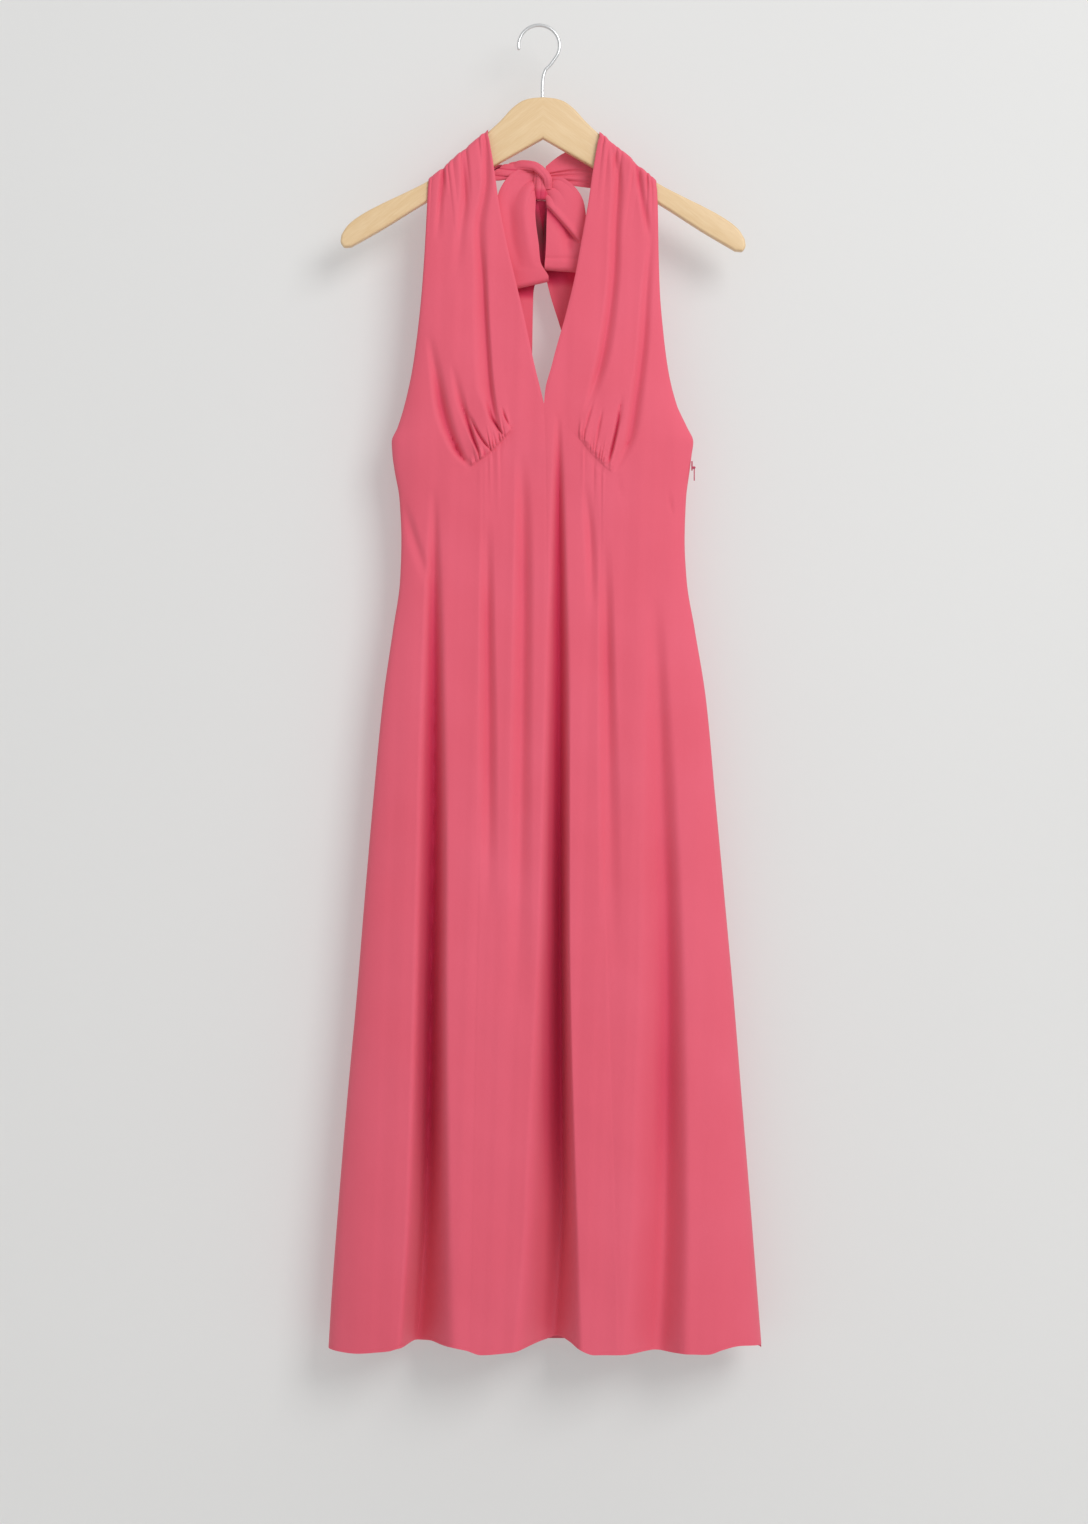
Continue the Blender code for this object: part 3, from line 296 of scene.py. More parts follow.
# %% Folds of the bodice
# They run from the gathers of the straps into those under the bust
BODICE_FOLDS = folds(
    left_cup_outer=(
        (-340, -120, 0, 7, 9), (-386, -112.6, 5, 9, 11), (-429, -104, 8.6, 11, 12),
        (-464, -91, 8.4, 9, 9), (-487, -76.5, 0, 5, 6)),
    left_cup_slit=(
        (-370, -96, 0, 5, 8), (-405, -88.5, 3.2, 6, 9), (-434, -79, 5.6, 5, 6), (-456, -71.5, 5.8, 4, 4),
        (-476, -63.5, 0, 3, 3)),
    left_cup_second=(
        (-426, -78, 0, 3, 4), (-440, -71.5, 3.6, 3, 4), (-458, -61, 4, 3, 4), (-471, -50, 0, 2, 3)),
    left_cup_third=(
        (-412, -57, 0, 3, 4), (-430, -53, 3.4, 3, 4), (-443, -44.5, 3.8, 3, 3), (-455, -36, 0, 2, 2)),
    left_cup_inner=(
        (-420, -41, 0, 2, 3), (-432, -37, 2.8, 2, 3), (-445, -30, 0, 2, 2)),
    left_strap_inner=(
        (-118, -60, 2.6, 6, 8), (-169, -58, 3.6, 7, 9), (-224, -66, 4.2, 9, 11), (-276, -62, 5.6, 12, 8),
        (-330, -59, 6.8, 16, 7), (-390, -55, 7.2, 18, 7), (-430, -49, 4.4, 10, 7), (-464, -40, 0, 6, 5)),
    left_strap_mid=(
        (-132, -83, 3, 5, 7), (-180, -81, 4, 7, 9), (-230, -86, 2.4, 10, 10), (-290, -92, 0, 12, 12)),
    left_strap_outer=(
        (-150, -103, 3.4, 5, 5), (-180, -107, 3.4, 5, 6), (-240, -112, 0, 7, 9)),
    right_strap_inner=(
        (-124, 78, 2.4, 6, 6), (-172, 87, 4, 9, 8), (-224, 84, 4.6, 10, 9), (-264, 82.5, 5.2, 10, 10),
        (-357, 71, 5.6, 9, 12), (-429, 50.6, 0, 7, 8)),
    right_strap_top=(
        (-150, 106, 3.2, 5, 5), (-200, 114.5, 3.6, 5, 7), (-236, 121, 0, 5, 6)),
    right_strap_outer=(
        (-220, 124, 0, 6, 6), (-287, 118, 3.4, 8, 9), (-345, 114.5, 5, 9, 10), (-415, 105.6, 5.6, 9, 11),
        (-450, 100, 5, 8, 10), (-494, 82, 0, 5, 7)),
    right_cup_slit=(
        (-405, 91, 0, 3, 4), (-437, 86, 4.4, 3, 4), (-464, 80, 5.4, 3, 4), (-486, 75, 0, 2, 3)),
    right_cup_second=(
        (-420, 70, 0, 3, 3), (-440, 66, 1.8, 3, 3), (-468, 61, 0, 2, 3)),
    right_cup_inner=(
        (-412, 60, 0, 3, 3), (-432, 54, 1.8, 3, 3), (-456, 48, 0, 2, 3)),
)
print(len(BODICE_FOLDS), "folds in the bodice")

# %% Folds of the back
# They are like the front's, and shallower
BACK_FOLDS = folds(
    back_left=(
        (-560, -100, 0, 20, 20), (-1000, -128, 9, 32, 28), (-1453, -166, 13, 40, 34)),
    back_mid_left=(
        (-520, -42, 0, 18, 18), (-1000, -58, 11, 26, 30), (-1453, -72, 16, 32, 36)),
    back_mid_right=(
        (-540, 40, 0, 18, 18), (-1000, 66, 12, 30, 26), (-1453, 84, 17, 36, 30)),
    back_right=(
        (-600, 110, 0, 22, 22), (-1000, 144, 8, 28, 32), (-1453, 178, 12, 34, 36)),
)
print(len(BACK_FOLDS), "folds in the back")


# %% [markdown]
# ## Curves from the tables
#
# A table holds only the sizes that someone would measure. A smooth curve through them gives the sizes
# in between. This one never swings past its points, so an edge gets no waves that the dress lacks.

# %% Smooth curves
def smooth(keys, values):
    """A curve through the points that never swings past them, as a function."""
    order = np.argsort(keys)
    at = np.asarray(keys, float)[order]
    value = np.asarray(values, float)[order]
    step = np.diff(at)
    slope = np.diff(value) / step
    tangent = np.zeros_like(value)
    tangent[0], tangent[-1] = slope[0], slope[-1]
    steady = slope[:-1] * slope[1:] > 0
    before, after = slope[:-1][steady], slope[1:][steady]
    tangent[1:-1][steady] = 2 * before * after / (before + after)

    def curve(key):
        key = np.clip(key, at[0], at[-1])
        i = np.clip(np.searchsorted(at, key) - 1, 0, len(at) - 2)
        t = (key - at[i]) / step[i]
        rise = t * t * (3 - 2 * t)
        ease_out = t * (1 - t) ** 2 * step[i] * tangent[i]
        ease_in = t * t * (t - 1) * step[i] * tangent[i + 1]
        return value[i] * (1 - rise) + value[i + 1] * rise + ease_out + ease_in

    return curve


print("halfway from 0 to 1, and on the way to 4:", smooth((0, 1, 2), (0, 1, 4))(0.5))

# %% Curves from a table
LOOK_UPS = 1200
SOFT_FOLD, CRISP_FOLD = 2.2, 2.8  # how sharp the large folds and the small ones are


def columns_of(rows, key="height"):
    """One smooth curve for each column of numbers in a table, over its key column."""
    keys = [getattr(r, key) for r in rows]
    names = [n for n in rows[0]._fields if n != key]
    fine = np.linspace(min(keys), max(keys), LOOK_UPS)

    def quick(name):
        values = smooth(keys, [getattr(r, name) for r in rows])(fine)
        return lambda at: np.interp(at, fine, values)

    return {n: quick(n) for n in names}


def folds_of(runs, sharp):
    """The curves of each fold, the heights between which it runs, and how sharp it is."""
    return [(columns_of(run), run[0].height, run[-1].height, sharp) for run in runs.values()]


print(f"the front stands {columns_of(SECTIONS)['front'](-900.0):.1f} mm out at -900")

# %% Lines and shares
def lengths_along(points):
    """The distance along a line of points, at each of them."""
    steps = np.linalg.norm(np.diff(points, axis=0), axis=1)
    return np.concatenate([[0], np.cumsum(steps)])


def path(points, shares):
    """Points at the given shares of the length of a smooth line through (x, height) points."""
    points = np.asarray(points, float)
    lengths = lengths_along(points)
    along = np.asarray(shares) * lengths[-1]
    return np.stack([smooth(lengths, points[:, 0])(along), smooth(lengths, points[:, 1])(along)], -1)


def fractions(count, power=1.0):
    """Evenly spaced numbers from 0 to 1, or closer together near 0 for a power over 1."""
    return np.linspace(0, 1, count + 1) ** power


def ease(start, end, value):
    """0 before start, 1 after end, and a soft step between."""
    t = np.clip((value - start) / (end - start), 0, 1)
    return t * t * (3 - 2 * t)


def between(share, first, last):
    """What lies at a share of the way from first to last."""
    return first + share * (last - first)


def bell(offset, wide):
    """1 in the middle, fading softly to both sides."""
    return np.exp(-(offset / wide) ** 2)


print(f"the left slash is {lengths_along(np.array(SLASH['left']))[-1]:.0f} mm long")

# %% The curves of the dress
outline, neckline = columns_of(OUTLINE), columns_of(NECKLINE)
seam, section = columns_of(SEAMS), columns_of(SECTIONS)
hem_lift = columns_of(HEM_WAVES, "x")["lift"]
front_folds = folds_of(FRONT_FOLDS, SOFT_FOLD) + folds_of({**WAIST_FOLDS, **BODICE_FOLDS}, CRISP_FOLD)
back_folds = folds_of(BACK_FOLDS, SOFT_FOLD)
print(len(front_folds), "front folds,", len(back_folds), "back folds")


# %% [markdown]
# ## The cloth as a height over a plane
#
# A dress that hangs flat is nearly a relief: at each place across and down, the cloth has one depth.
# So folds, creases, gathers and seams are all functions that are added up to one depth. Cloth
# simulation could fold it too, but would put the folds where it likes, and these lie where the dress
# shows them.

# %% Depth of the front and the back
ROUNDING = 4.0  # how fully the cloth stands off its side seams: more is squarer
FOLD_END = 20.0  # how far a fold runs on past its last row
WAVES = ((31, 170, 0.22), (19, 95, 0.08), (57, 310, 0.6))  # width, height and depth of slow waves


def fold_depth(folds, x, z):
    """How far all the folds together push the cloth back at a point."""
    depth = np.zeros(np.broadcast(x, z).shape)
    for curves, top, bottom, sharp in folds:
        aside = x - curves["x"](z)
        reach = np.where(aside < 0, curves["reach_left"](z), curves["reach_right"](z))
        near = np.clip(np.abs(aside) / reach, 0, 1)
        shape = (1 - near) ** sharp * (1 + sharp * near)
        runs = (z <= top) & (z >= bottom - FOLD_END)
        depth += np.where(runs, curves["depth"](z) * shape, 0)
    return depth


def across(x, z):
    """A point's place between the side edges, from -1 to 1."""
    left, right = outline["left"](z), outline["right"](z)
    return np.clip(2 * (x - left) / (right - left) - 1, -1, 1)


def waver(x, z):
    """The slow unevenness of hung cloth, longer down the grain than across it."""
    total = np.zeros(np.broadcast(x, z).shape)
    for turn, (wide, tall, deep) in enumerate(WAVES):
        leaning = np.sin(2 * math.pi * (x / wide + z / tall) + 1.7 * turn)
        total += deep * leaning * np.sin(2 * math.pi * (x / (1.6 * wide) - z / (0.8 * tall)) + turn)
    return total


def cloth_depth(x, z, facing):
    """The depth of the front (facing -1) or the back (facing 1)."""
    folds, stand = (front_folds, "front") if facing < 0 else (back_folds, "back")
    rise = np.sqrt(np.clip(1 - np.abs(across(x, z)) ** ROUNDING, 0, 1))
    height = section[stand](z) * rise - fold_depth(folds, x, z) + waver(x, z) * rise
    return section["side"](z) + facing * (SEAM_GAP / 2 + height)


print("the front's hem at three places:", np.round(cloth_depth(np.array([-134, -60, 16]), HEM, -1), 1))

# %% [markdown]
# ## How much shade is painted in a fold
#
# Light that bounces between the two sides of a fold takes on the cloth's colour again and again, so the
# bottom of a fold looks both darker and redder. For each point, the steepest cloth to its left and to
# its right says how much light the folds keep from it. The points carry that share as an attribute,
# and the crepe paints it in as shade, deepening its colour by it on top of the shade the lamps give.

# %% Hollows
SHADE_STEPS = (2, 4, 7, 11, 16, 23, 32, 44)  # mm to each side at which the cloth is looked at
HEM_LIGHT = 0.55  # share of a fold's painted shade that the light from below takes away at the hem


def painted_fold_shade(x, z, facing):
    """The share of the light from left and right that the folds keep from a place, to paint as shade."""
    here = facing * cloth_depth(x, z, facing)
    kept = np.zeros(here.shape)
    for way in (-1, 1):
        steepest = np.zeros(here.shape)
        for step in SHADE_STEPS:
            rise = facing * cloth_depth(x + way * step, z, facing) - here
            steepest = np.maximum(steepest, rise / step)
        kept += np.sin(np.arctan(steepest)) / 2
    return kept * (1 - HEM_LIGHT * ease(-1130, HEM, z))


print("light that the centre fold keeps away:", np.round(painted_fold_shade(np.array([24.5]), -1200, -1), 2))

# %% [markdown]
# ## Cloth with two sides
#
# Each piece is a thin closed shell, so it has an edge and an inside like real cloth. A grid gives its
# outer points, and the inner ones lie a cloth's thickness further in along the surface's own normal.
# Fields that share an edge are joined there by their points' places.

# %% Shells
CLOTH = 0.7  # mm
SHARP = 60  # degrees: the cloth's cut edges turn more sharply than this, and its folds don't


def unit(vectors):
    """Vectors at a length of 1."""
    return vectors / np.maximum(np.linalg.norm(vectors, axis=-1, keepdims=True), 1e-9)


def normals_of(grid):
    """Unit normals of a grid of points."""
    return unit(np.cross(np.gradient(grid, axis=0), np.gradient(grid, axis=1)))


def shell(name, fields, finish):
    """A closed shell from fields, each its outer and inner grid and its painted shade; shared edges are
    joined.

    The painted shade is one grid for both sides, or a pair of grids, for the outer and the inner side.
    """
    outer = np.concatenate([o.reshape(-1, 3) for o, _, _ in fields])
    inner = np.concatenate([i.reshape(-1, 3) for _, i, _ in fields])
    painted_shade = np.concatenate([np.broadcast_to(h, (2, *o.shape[:2])).reshape(2, -1) for o, _, h in fields], 1)
    _, first, number = np.unique(np.round(outer, 3), axis=0, return_index=True, return_inverse=True)
    number, count, quads, start = number.reshape(-1), len(first), [], 0
    for grid, _, _ in fields:
        index = number[start:start + grid[..., 0].size].reshape(grid.shape[:2])
        start += index.size
        quads.append(np.stack([index[:-1, :-1], index[1:, :-1], index[1:, 1:], index[:-1, 1:]], -1))
    quads = np.concatenate([q.reshape(-1, 4) for q in quads])
    edges = np.concatenate([quads[:, [k, (k + 1) % 4]] for k in range(4)])
    known = {(a, b) for a, b in edges.tolist()}
    rim = [(b, a, a + count, b + count) for a, b in sorted(known) if (b, a) not in known]
    faces = quads.tolist() + (quads[:, ::-1] + count).tolist() + rim
    piece = add_mesh(name, np.concatenate([outer[first], inner[first]]), faces, finish)
    mark_painted_shade(piece, painted_shade[:, first].reshape(-1))
    return piece


print("the cloth is", CLOTH, "mm thick")

# %% Pieces
def mark_painted_shade(piece, values):
    """Keeps the shade painted on each point, where the crepe reads it."""
    mark = piece.data.attributes.new("painted_shade", "FLOAT", "POINT")
    mark.data.foreach_set("value", np.asarray(values, np.float32))


def add_mesh(name, points, faces, finish):
    """A smooth object from points in millimetres and faces, with its faces turned outward."""
    mesh = bpy.data.meshes.new(name)
    mesh.from_pydata((np.asarray(points) * MM).tolist(), [], faces)
    form = bmesh.new()
    form.from_mesh(mesh)
    bmesh.ops.recalc_face_normals(form, faces=form.faces[:])
    form.to_mesh(mesh)
    form.free()
    mesh.shade_smooth()
    mesh.set_sharp_from_angle(angle=math.radians(SHARP))
    mesh.materials.append(finish)
    return show(name, mesh)


def area_of(piece):
    """The area of one side of a shell, in square metres."""
    return sum(f.area for f in piece.data.polygons) / 2


def tell(*pieces):
    """Prints how finely the pieces are made, and how large they are."""
    for piece in pieces:
        print(piece.name, len(piece.data.polygons), "faces,", round(area_of(piece), 4), "square metres")


print("edges that turn more than", SHARP, "degrees stay sharp")

# %% [markdown]
# ## The hanger's top edge
#
# The straps lie on the wood, so its top edge is needed first.

# %% Hanger top
HANGER_CENTRE = 4.5
HANGER_TILT = 0.6  # degrees
# The top edge of half of the hanger, from its middle out
HANGER_TOP = table(
    "run top", (0, -78.1), (12, -79.2), (22, -82), (33, -89.6), (47, -104.6), (61, -117.6), (92, -143.8),
    (125, -170.6), (152, -184.8), (178, -197.4), (201, -210.2), (215, -221.4), (221.5, -231.5),
)
level_top = columns_of(HANGER_TOP, "run")["top"]


def tilt_drop(run):
    """How much lower the tilted hanger is at a distance to the right of its middle."""
    return math.tan(math.radians(HANGER_TILT)) * run


def hanger_top(x):
    """The height of the wood's top edge."""
    run = x - HANGER_CENTRE
    return level_top(np.abs(run)) - tilt_drop(run)


print(f"the hanger's right end hangs {2 * tilt_drop(HANGER_TOP[-1].run):.1f} mm lower than its left")

# %% [markdown]
# ## The front, from strap to hem
#
# Each half of the front is one cut piece. Under the bust it is slashed: the upper side of the slash is
# gathered and sewn to the lower one, which makes the cup. The slash goes on down as the princess seam.
# The gathers are round ridges with sharp valleys, each with its own height and length, because a
# gathering thread bunches cloth unevenly.
# Shade is painted into the valleys between them.

# %% Gathers
Gathers = namedtuple("Gathers", "count height reach sharp rise ends")
CUP_GATHERS = {"left": Gathers(11, 3.4, 26, 0.8, 3, 0.06), "right": Gathers(11, 2.6, 26, 0.9, 8, 0.06)}
WAIST_GATHERS = Gathers(5, 1.1, 66, 2.0, 6, 0.35)
STRAP_GATHERS = Gathers(8, 1.9, 70, 1.1, 3, 0.06)
SEAM_PULL, SEAM_WIDE = {"left": 0.8, "right": 0.3}, 1.8  # how far the gathered seam sits in, and how wide
PUFF = {"left": 3.0, "right": 1.8}  # how far the cup swells above that seam
CRINKLE = {"left": 0.25, "right": 0.6}  # height of the small dimples among the gathers
CRINKLE_WIDE, CRINKLE_LONG, CRINKLE_REACH = 8.5, 7.0, 15.0


def gathered(share, distance, gathers, seed):
    """How far gathered cloth stands out, and the shade painted in its slits, from 0 to 1.

    The place is given by its share along the seam and its distance from it.
    """
    uneven = 0.036 * np.sin(9 * share + seed) + 0.023 * np.sin(23 * share + 2 * seed)
    phase = gathers.count * (share + uneven)
    ridge = np.round(phase)
    own_height = gathers.height * (1 + 0.45 * np.sin(2.4 * ridge + seed))
    own_reach = gathers.reach * (1 + 0.5 * np.sin(3.7 * ridge + 1.3 * seed))
    shape = np.abs(np.cos(math.pi * phase)) ** gathers.sharp
    fade = np.clip(1 - distance / own_reach, 0, 1) ** 1.4
    ends = ease(0, gathers.ends, share) * ease(0, gathers.ends, 1 - share)
    held = fade * ease(0, gathers.rise, distance) * ends
    # The second share is painted shade in the valleys
    return own_height * shape * held, (1 - shape) * held


def seam_pull(side, share, distance):
    """How far the cloth is drawn in at the gathered seam."""
    ends = ease(-0.1, 0.1, share) * ease(-0.1, 0.1, 1 - share)
    return SEAM_PULL[side] * bell(distance, SEAM_WIDE) * ends


def crinkles(side, x, z, share, distance):
    """Small uneven dimples where the gathers press the cloth together."""
    a, b = 2 * math.pi * x / CRINKLE_WIDE, 2 * math.pi * z / CRINKLE_LONG
    bumps = np.sin(a + 1.5 * np.sin(0.43 * b)) * np.sin(b + 1.2 * np.sin(0.6 * a))
    ends = ease(0, 0.1, share) * ease(0, 0.1, 1 - share)
    return CRINKLE[side] * bumps * np.exp(-distance / CRINKLE_REACH) * ease(0, 3, distance) * ends


print("under the left bust:", CUP_GATHERS["left"])

# %% [markdown]
# ## Panels of the front
#
# A panel is a grid of points between its four edges, so its rows and columns follow the seams. The depth
# of the cloth pushes them out, and a grid that is finer near the gathers and the hem spends its points
# where the small shapes are.

# %% A field between four edges
def patch(top, bottom, first, last):
    """The points of a four-sided field, from the points along its edges."""
    def spacing(edge):
        lengths = lengths_along(edge)
        return lengths / lengths[-1]

    c = ((spacing(top) + spacing(bottom)) / 2)[None, :, None]
    t = ((spacing(first) + spacing(last)) / 2)[:, None, None]
    top, bottom = top[None, :, :], bottom[None, :, :]
    first, last = first[:, None, :], last[:, None, :]
    corners = (1 - t) * ((1 - c) * top[:, :1] + c * top[:, -1:])
    corners = corners + t * ((1 - c) * bottom[:, :1] + c * bottom[:, -1:])
    return (1 - t) * top + t * bottom + (1 - c) * first + c * last - corners


corners = np.array([[[0.0, 0.0], [1.0, 0.0]], [[0.0, 1.0], [1.0, 1.0]]])
print("a square field:", patch(corners[0], corners[1], corners[:, 0], corners[:, 1]).tolist())

# %% Panels
LIFT_FADE = 4.0  # how fast the hem's waves die out up the skirt
ARM_COLUMNS, ARM_SPREAD = 44, 1.5
GATHER_COLUMNS, PRINCESS_COLUMN = 96, 24  # along the slash, and the one where the princess seam starts
NECK_COLUMNS = 18
BODICE_ROWS, BODICE_SPREAD = 110, 1.5
SKIRT_ROWS, HEM_ROWS, HEM_SHARE = 150, 12, 0.008  # with the hem's rows, and the share of the length they take
SIDE_HEM_SPREAD = 1.35
HEM_FOLD, HEM_STITCH = 4.0, 3.2  # the hem's turned-up width, and its stitches' height above the edge
HEM_STAND, STITCH_SINK, STITCH_WIDE = 0.35, 0.25, 0.6  # how far it stands out, and the stitches' groove
EDGE_ROLL, EDGE_WIDE = 0.8, 0.9  # how far a free edge rolls in, and over what distance
GROOVE, GROOVE_WIDE = 0.26, 1.6  # a pressed seam's depth and width


def long_edge(curve, start, end_z, down):
    """A long edge of a panel, from its top end down to a height."""
    z = between(down, start[1], end_z)
    points = np.stack([curve(z), z], -1)
    points[0] = start
    return points


def clothe(field, out, slit_shade, facing=-1):
    """A field of (x, height) points as cloth, pushed out by some millimetres, with the shade painted in its
    folds and slits.
    """
    x, z = field[..., 0], field[..., 1]
    outer = np.stack([x, cloth_depth(x, z, facing) + facing * out, z], -1)
    # Painted shade in the folds and slits, on the outer side only
    painted_shade = np.maximum(painted_fold_shade(x, z, facing), slit_shade)
    normal = normals_of(outer)
    normal = normal * np.where(normal[..., 1:2] * facing < 0, -1, 1)
    return outer, outer - normal * CLOTH, np.stack([painted_shade, 0 * painted_shade])


def hem_relief(z):
    """The narrow turned-up hem stands out a little, and its stitches sink in."""
    up = z - HEM
    turned = 1 - ease(HEM_FOLD - 0.5, HEM_FOLD + 0.5, up)
    return HEM_STAND * turned - STITCH_SINK * bell(up - HEM_STITCH, STITCH_WIDE)


def rows_down(count, power=1.0):
    """Shares of a panel's length: down to the hem, and then closer together over the turned hem itself."""
    above = 1 - HEM_SHARE
    return np.concatenate([above * fractions(count, power), above + HEM_SHARE * fractions(HEM_ROWS)[1:]])


print(len(rows_down(SKIRT_ROWS)), "rows down the skirt")

# %% Panels of the skirt
def skirt_panel(top_edge, first, last, spread, out):
    """A panel of the skirt, its hem lifted in waves; out gives its gathers by distance."""
    hem_x = between(fractions(len(top_edge) - 1, spread), first[-1, 0], last[-1, 0])
    hem_line = np.stack([hem_x, np.full_like(hem_x, HEM)], -1)
    field = patch(top_edge, hem_line, first, last)
    above = (field[..., 1] - HEM) / (top_edge[None, :, 1] - HEM)
    seam_in = np.zeros(field.shape[:2])
    for edge in (first, last):
        seam_in += GROOVE * bell(field[..., 0] - edge[:, None, 0], GROOVE_WIDE)
    distance = np.linalg.norm(field - field[:1], axis=-1)
    relief = out(distance) - seam_in * ease(0, 6, distance) + hem_relief(field[..., 1])
    outer, inner, painted_shade = clothe(field, relief, 0.0)
    rise = hem_lift(hem_x)[None, :] * (1 - above) ** LIFT_FADE
    outer[..., 2] += rise
    inner[..., 2] += rise
    return outer, inner, painted_shade


print("the hem's waves lift it by up to", max(wave.lift for wave in HEM_WAVES), "mm")

# %% [markdown]
# ## The strap over the wood
#
# At its top each half goes over the wood and a little way down behind it, where its tie starts. Real
# cloth under load lies close to the board's rounded edge, so the rows go round a squarish arch that
# starts from the bodice's own top row and keeps its gathers.

# %% Straps
STRAP_CLEAR = 8.3  # from the wood's middle to the cloth behind it
TURN_DROP = 4.4  # from the wood's top edge down to where the arch starts
TURN_LIFT = 6.9  # height of the arch
TURN_BACK = 9.0  # how far the strap runs down behind the wood
TURN_SQUARE = 0.8  # under 1 is squarer than round
TURN_ROWS, BEHIND_ROWS = 18, 4  # over the arch, and behind the wood below it


def strap_turn(top_outer):
    """The rows of cloth over the wood and down behind it, from back to front."""
    x, front = top_outer[:, 0], -top_outer[:, 1]
    behind = STRAP_CLEAR + 0.5 * (front - front.mean())
    base = hanger_top(x) - TURN_DROP
    outer, inner = [], []
    for share in fractions(BEHIND_ROWS)[:-1]:
        z = base - TURN_BACK * (1 - share)
        outer.append(np.stack([x, behind, z], -1))
        inner.append(np.stack([x, behind - CLOTH, z], -1))
    for forward in fractions(TURN_ROWS)[:-1]:
        angle = math.pi * (1 - forward)
        radius = between(forward, behind, front)
        lift = TURN_LIFT + (radius - STRAP_CLEAR) * 0.5
        round_y = math.copysign(abs(math.cos(angle)) ** TURN_SQUARE, math.cos(angle))
        round_z = max(math.sin(angle), 0.0) ** TURN_SQUARE
        outer.append(np.stack([x, -radius * round_y, base + lift * round_z], -1))
        inner.append(np.stack([x, -(radius - CLOTH) * round_y, base + (lift - CLOTH) * round_z], -1))
    return np.array(outer), np.array(inner)


print(TURN_ROWS + BEHIND_ROWS, "rows over the wood and behind it")

# %% [markdown]
# ## Each half as one piece
#
# The bodice, the side panel and the centre panel of a half are joined along the line across the bust,
# and all three share the points of that line. So the gathered side of the slash meets the plain side
# in one seam without a gap, as the two layers do that a maker sews together.

# %% Halves of the front
SEEDS = {"left": 0.7, "right": 2.9}  # which make the gathers of the two sides differ
PUFF_REACH = 16.0  # how far above the slash the cup swells most


def front_half(side, finish):
    """Half of the front: the bodice, the side panel and the centre panel are one cut piece."""
    seed = SEEDS[side]
    edge, neck, princess = outline[side], neckline[side], seam["princess_" + side]
    outer_end, inner_end = np.array(SLASH[side][0]), np.array(SLASH[side][-1])
    level, v_height = outer_end[1], NECKLINE[-1].height

    # The line across the bust from the side seam to the V, with the slash in its middle
    side_end = np.array([edge(level), level])
    v_end = np.array([neck(v_height), v_height])
    arm_line = between(fractions(ARM_COLUMNS, ARM_SPREAD)[:, None], side_end, outer_end)
    v_line = between(fractions(NECK_COLUMNS)[:, None], inner_end, v_end)
    slash = path(SLASH[side], fractions(GATHER_COLUMNS))
    bust_line = np.concatenate([arm_line, slash[1:], v_line[1:]])
    shares = (np.arange(len(bust_line)) - ARM_COLUMNS)[None, :] / GATHER_COLUMNS

    # The bodice, from the strap's turn down to that line
    top_x = np.linspace(getattr(OUTLINE[0], side), getattr(NECKLINE[0], side), len(bust_line))
    top = np.stack([top_x, hanger_top(top_x) - TURN_DROP], -1)
    down = 1 - (1 - fractions(BODICE_ROWS)) ** BODICE_SPREAD
    arm_edge = long_edge(edge, top[0], level, down)
    neck_edge = long_edge(neck, top[-1], v_height, down)
    field = patch(top, bust_line, arm_edge, neck_edge)
    distance = np.linalg.norm(field - field[-1:], axis=-1)
    puff = PUFF[side] * (distance / PUFF_REACH) * np.exp(1 - distance / PUFF_REACH)
    puff = puff * ease(-0.1, 0.3, shares) * ease(-0.1, 0.3, 1 - shares)
    puff = puff + crinkles(side, field[..., 0], field[..., 1], shares, distance)
    stand, slit_shade = gathered(shares, distance, CUP_GATHERS[side], seed)
    above = np.linalg.norm(field - field[:1], axis=-1)
    over_wood, _ = gathered(fractions(len(bust_line) - 1)[None, :], above + 5, STRAP_GATHERS, seed + 2)
    relief = stand + puff + over_wood - seam_pull(side, shares, distance)
    for line in (arm_edge, neck_edge):
        gap = np.linalg.norm(field - line[:, None, :], axis=-1)
        relief = relief - EDGE_ROLL * np.exp(-gap / EDGE_WIDE) * ease(0, 20, field[..., 1] - v_height)
    bodice = clothe(field, relief, slit_shade)
    turn = [np.concatenate([rows, own[:1]]) for rows, own in zip(strap_turn(bodice[0][0]), bodice)]
    turn.append(np.repeat(bodice[2][:, :1], len(turn[0]), axis=1))

    # The side panel and the centre panel, from there down to the hem, parted at the princess seam
    rows = rows_down(SKIRT_ROWS)
    parting = ARM_COLUMNS + PRINCESS_COLUMN
    princess_edge = long_edge(princess, bust_line[parting], HEM, rows)

    def below(own):
        def out(far):
            return gathered(own, far, WAIST_GATHERS, seed + 1)[0] - seam_pull(side, own, far)

        return out

    side_edge = long_edge(edge, side_end, HEM, rows)
    centre_edge = long_edge(seam["centre"], v_end, HEM, rows)
    side_panel = skirt_panel(bust_line[:parting + 1], side_edge, princess_edge,
                             SIDE_HEM_SPREAD, below(shares[:, :parting + 1]))
    centre_panel = skirt_panel(bust_line[parting:], princess_edge, centre_edge,
                               1.0, below(shares[:, parting:]))
    return shell("front_" + side + "_cloth", [turn, bodice, side_panel, centre_panel], finish)


halves = {side: front_half(side, crepe) for side in ("left", "right")}
tell(*halves.values())

# %% [markdown]
# ## The back
#
# The photograph hides the back. It is one plain panel from side seam to side seam, with a low top
# edge, and the same soft folds as the front, only shallower.

# %% Back panel
BACK_TOP_SIDE, BACK_TOP_DIP = -456.0, 14.0  # height of the top edge at the sides, and its dip between them
BACK_COLUMNS, BACK_CROWD = 130, 0.9  # with how much they crowd to the side seams
BACK_ROWS, BACK_SPREAD = 150, 1.15


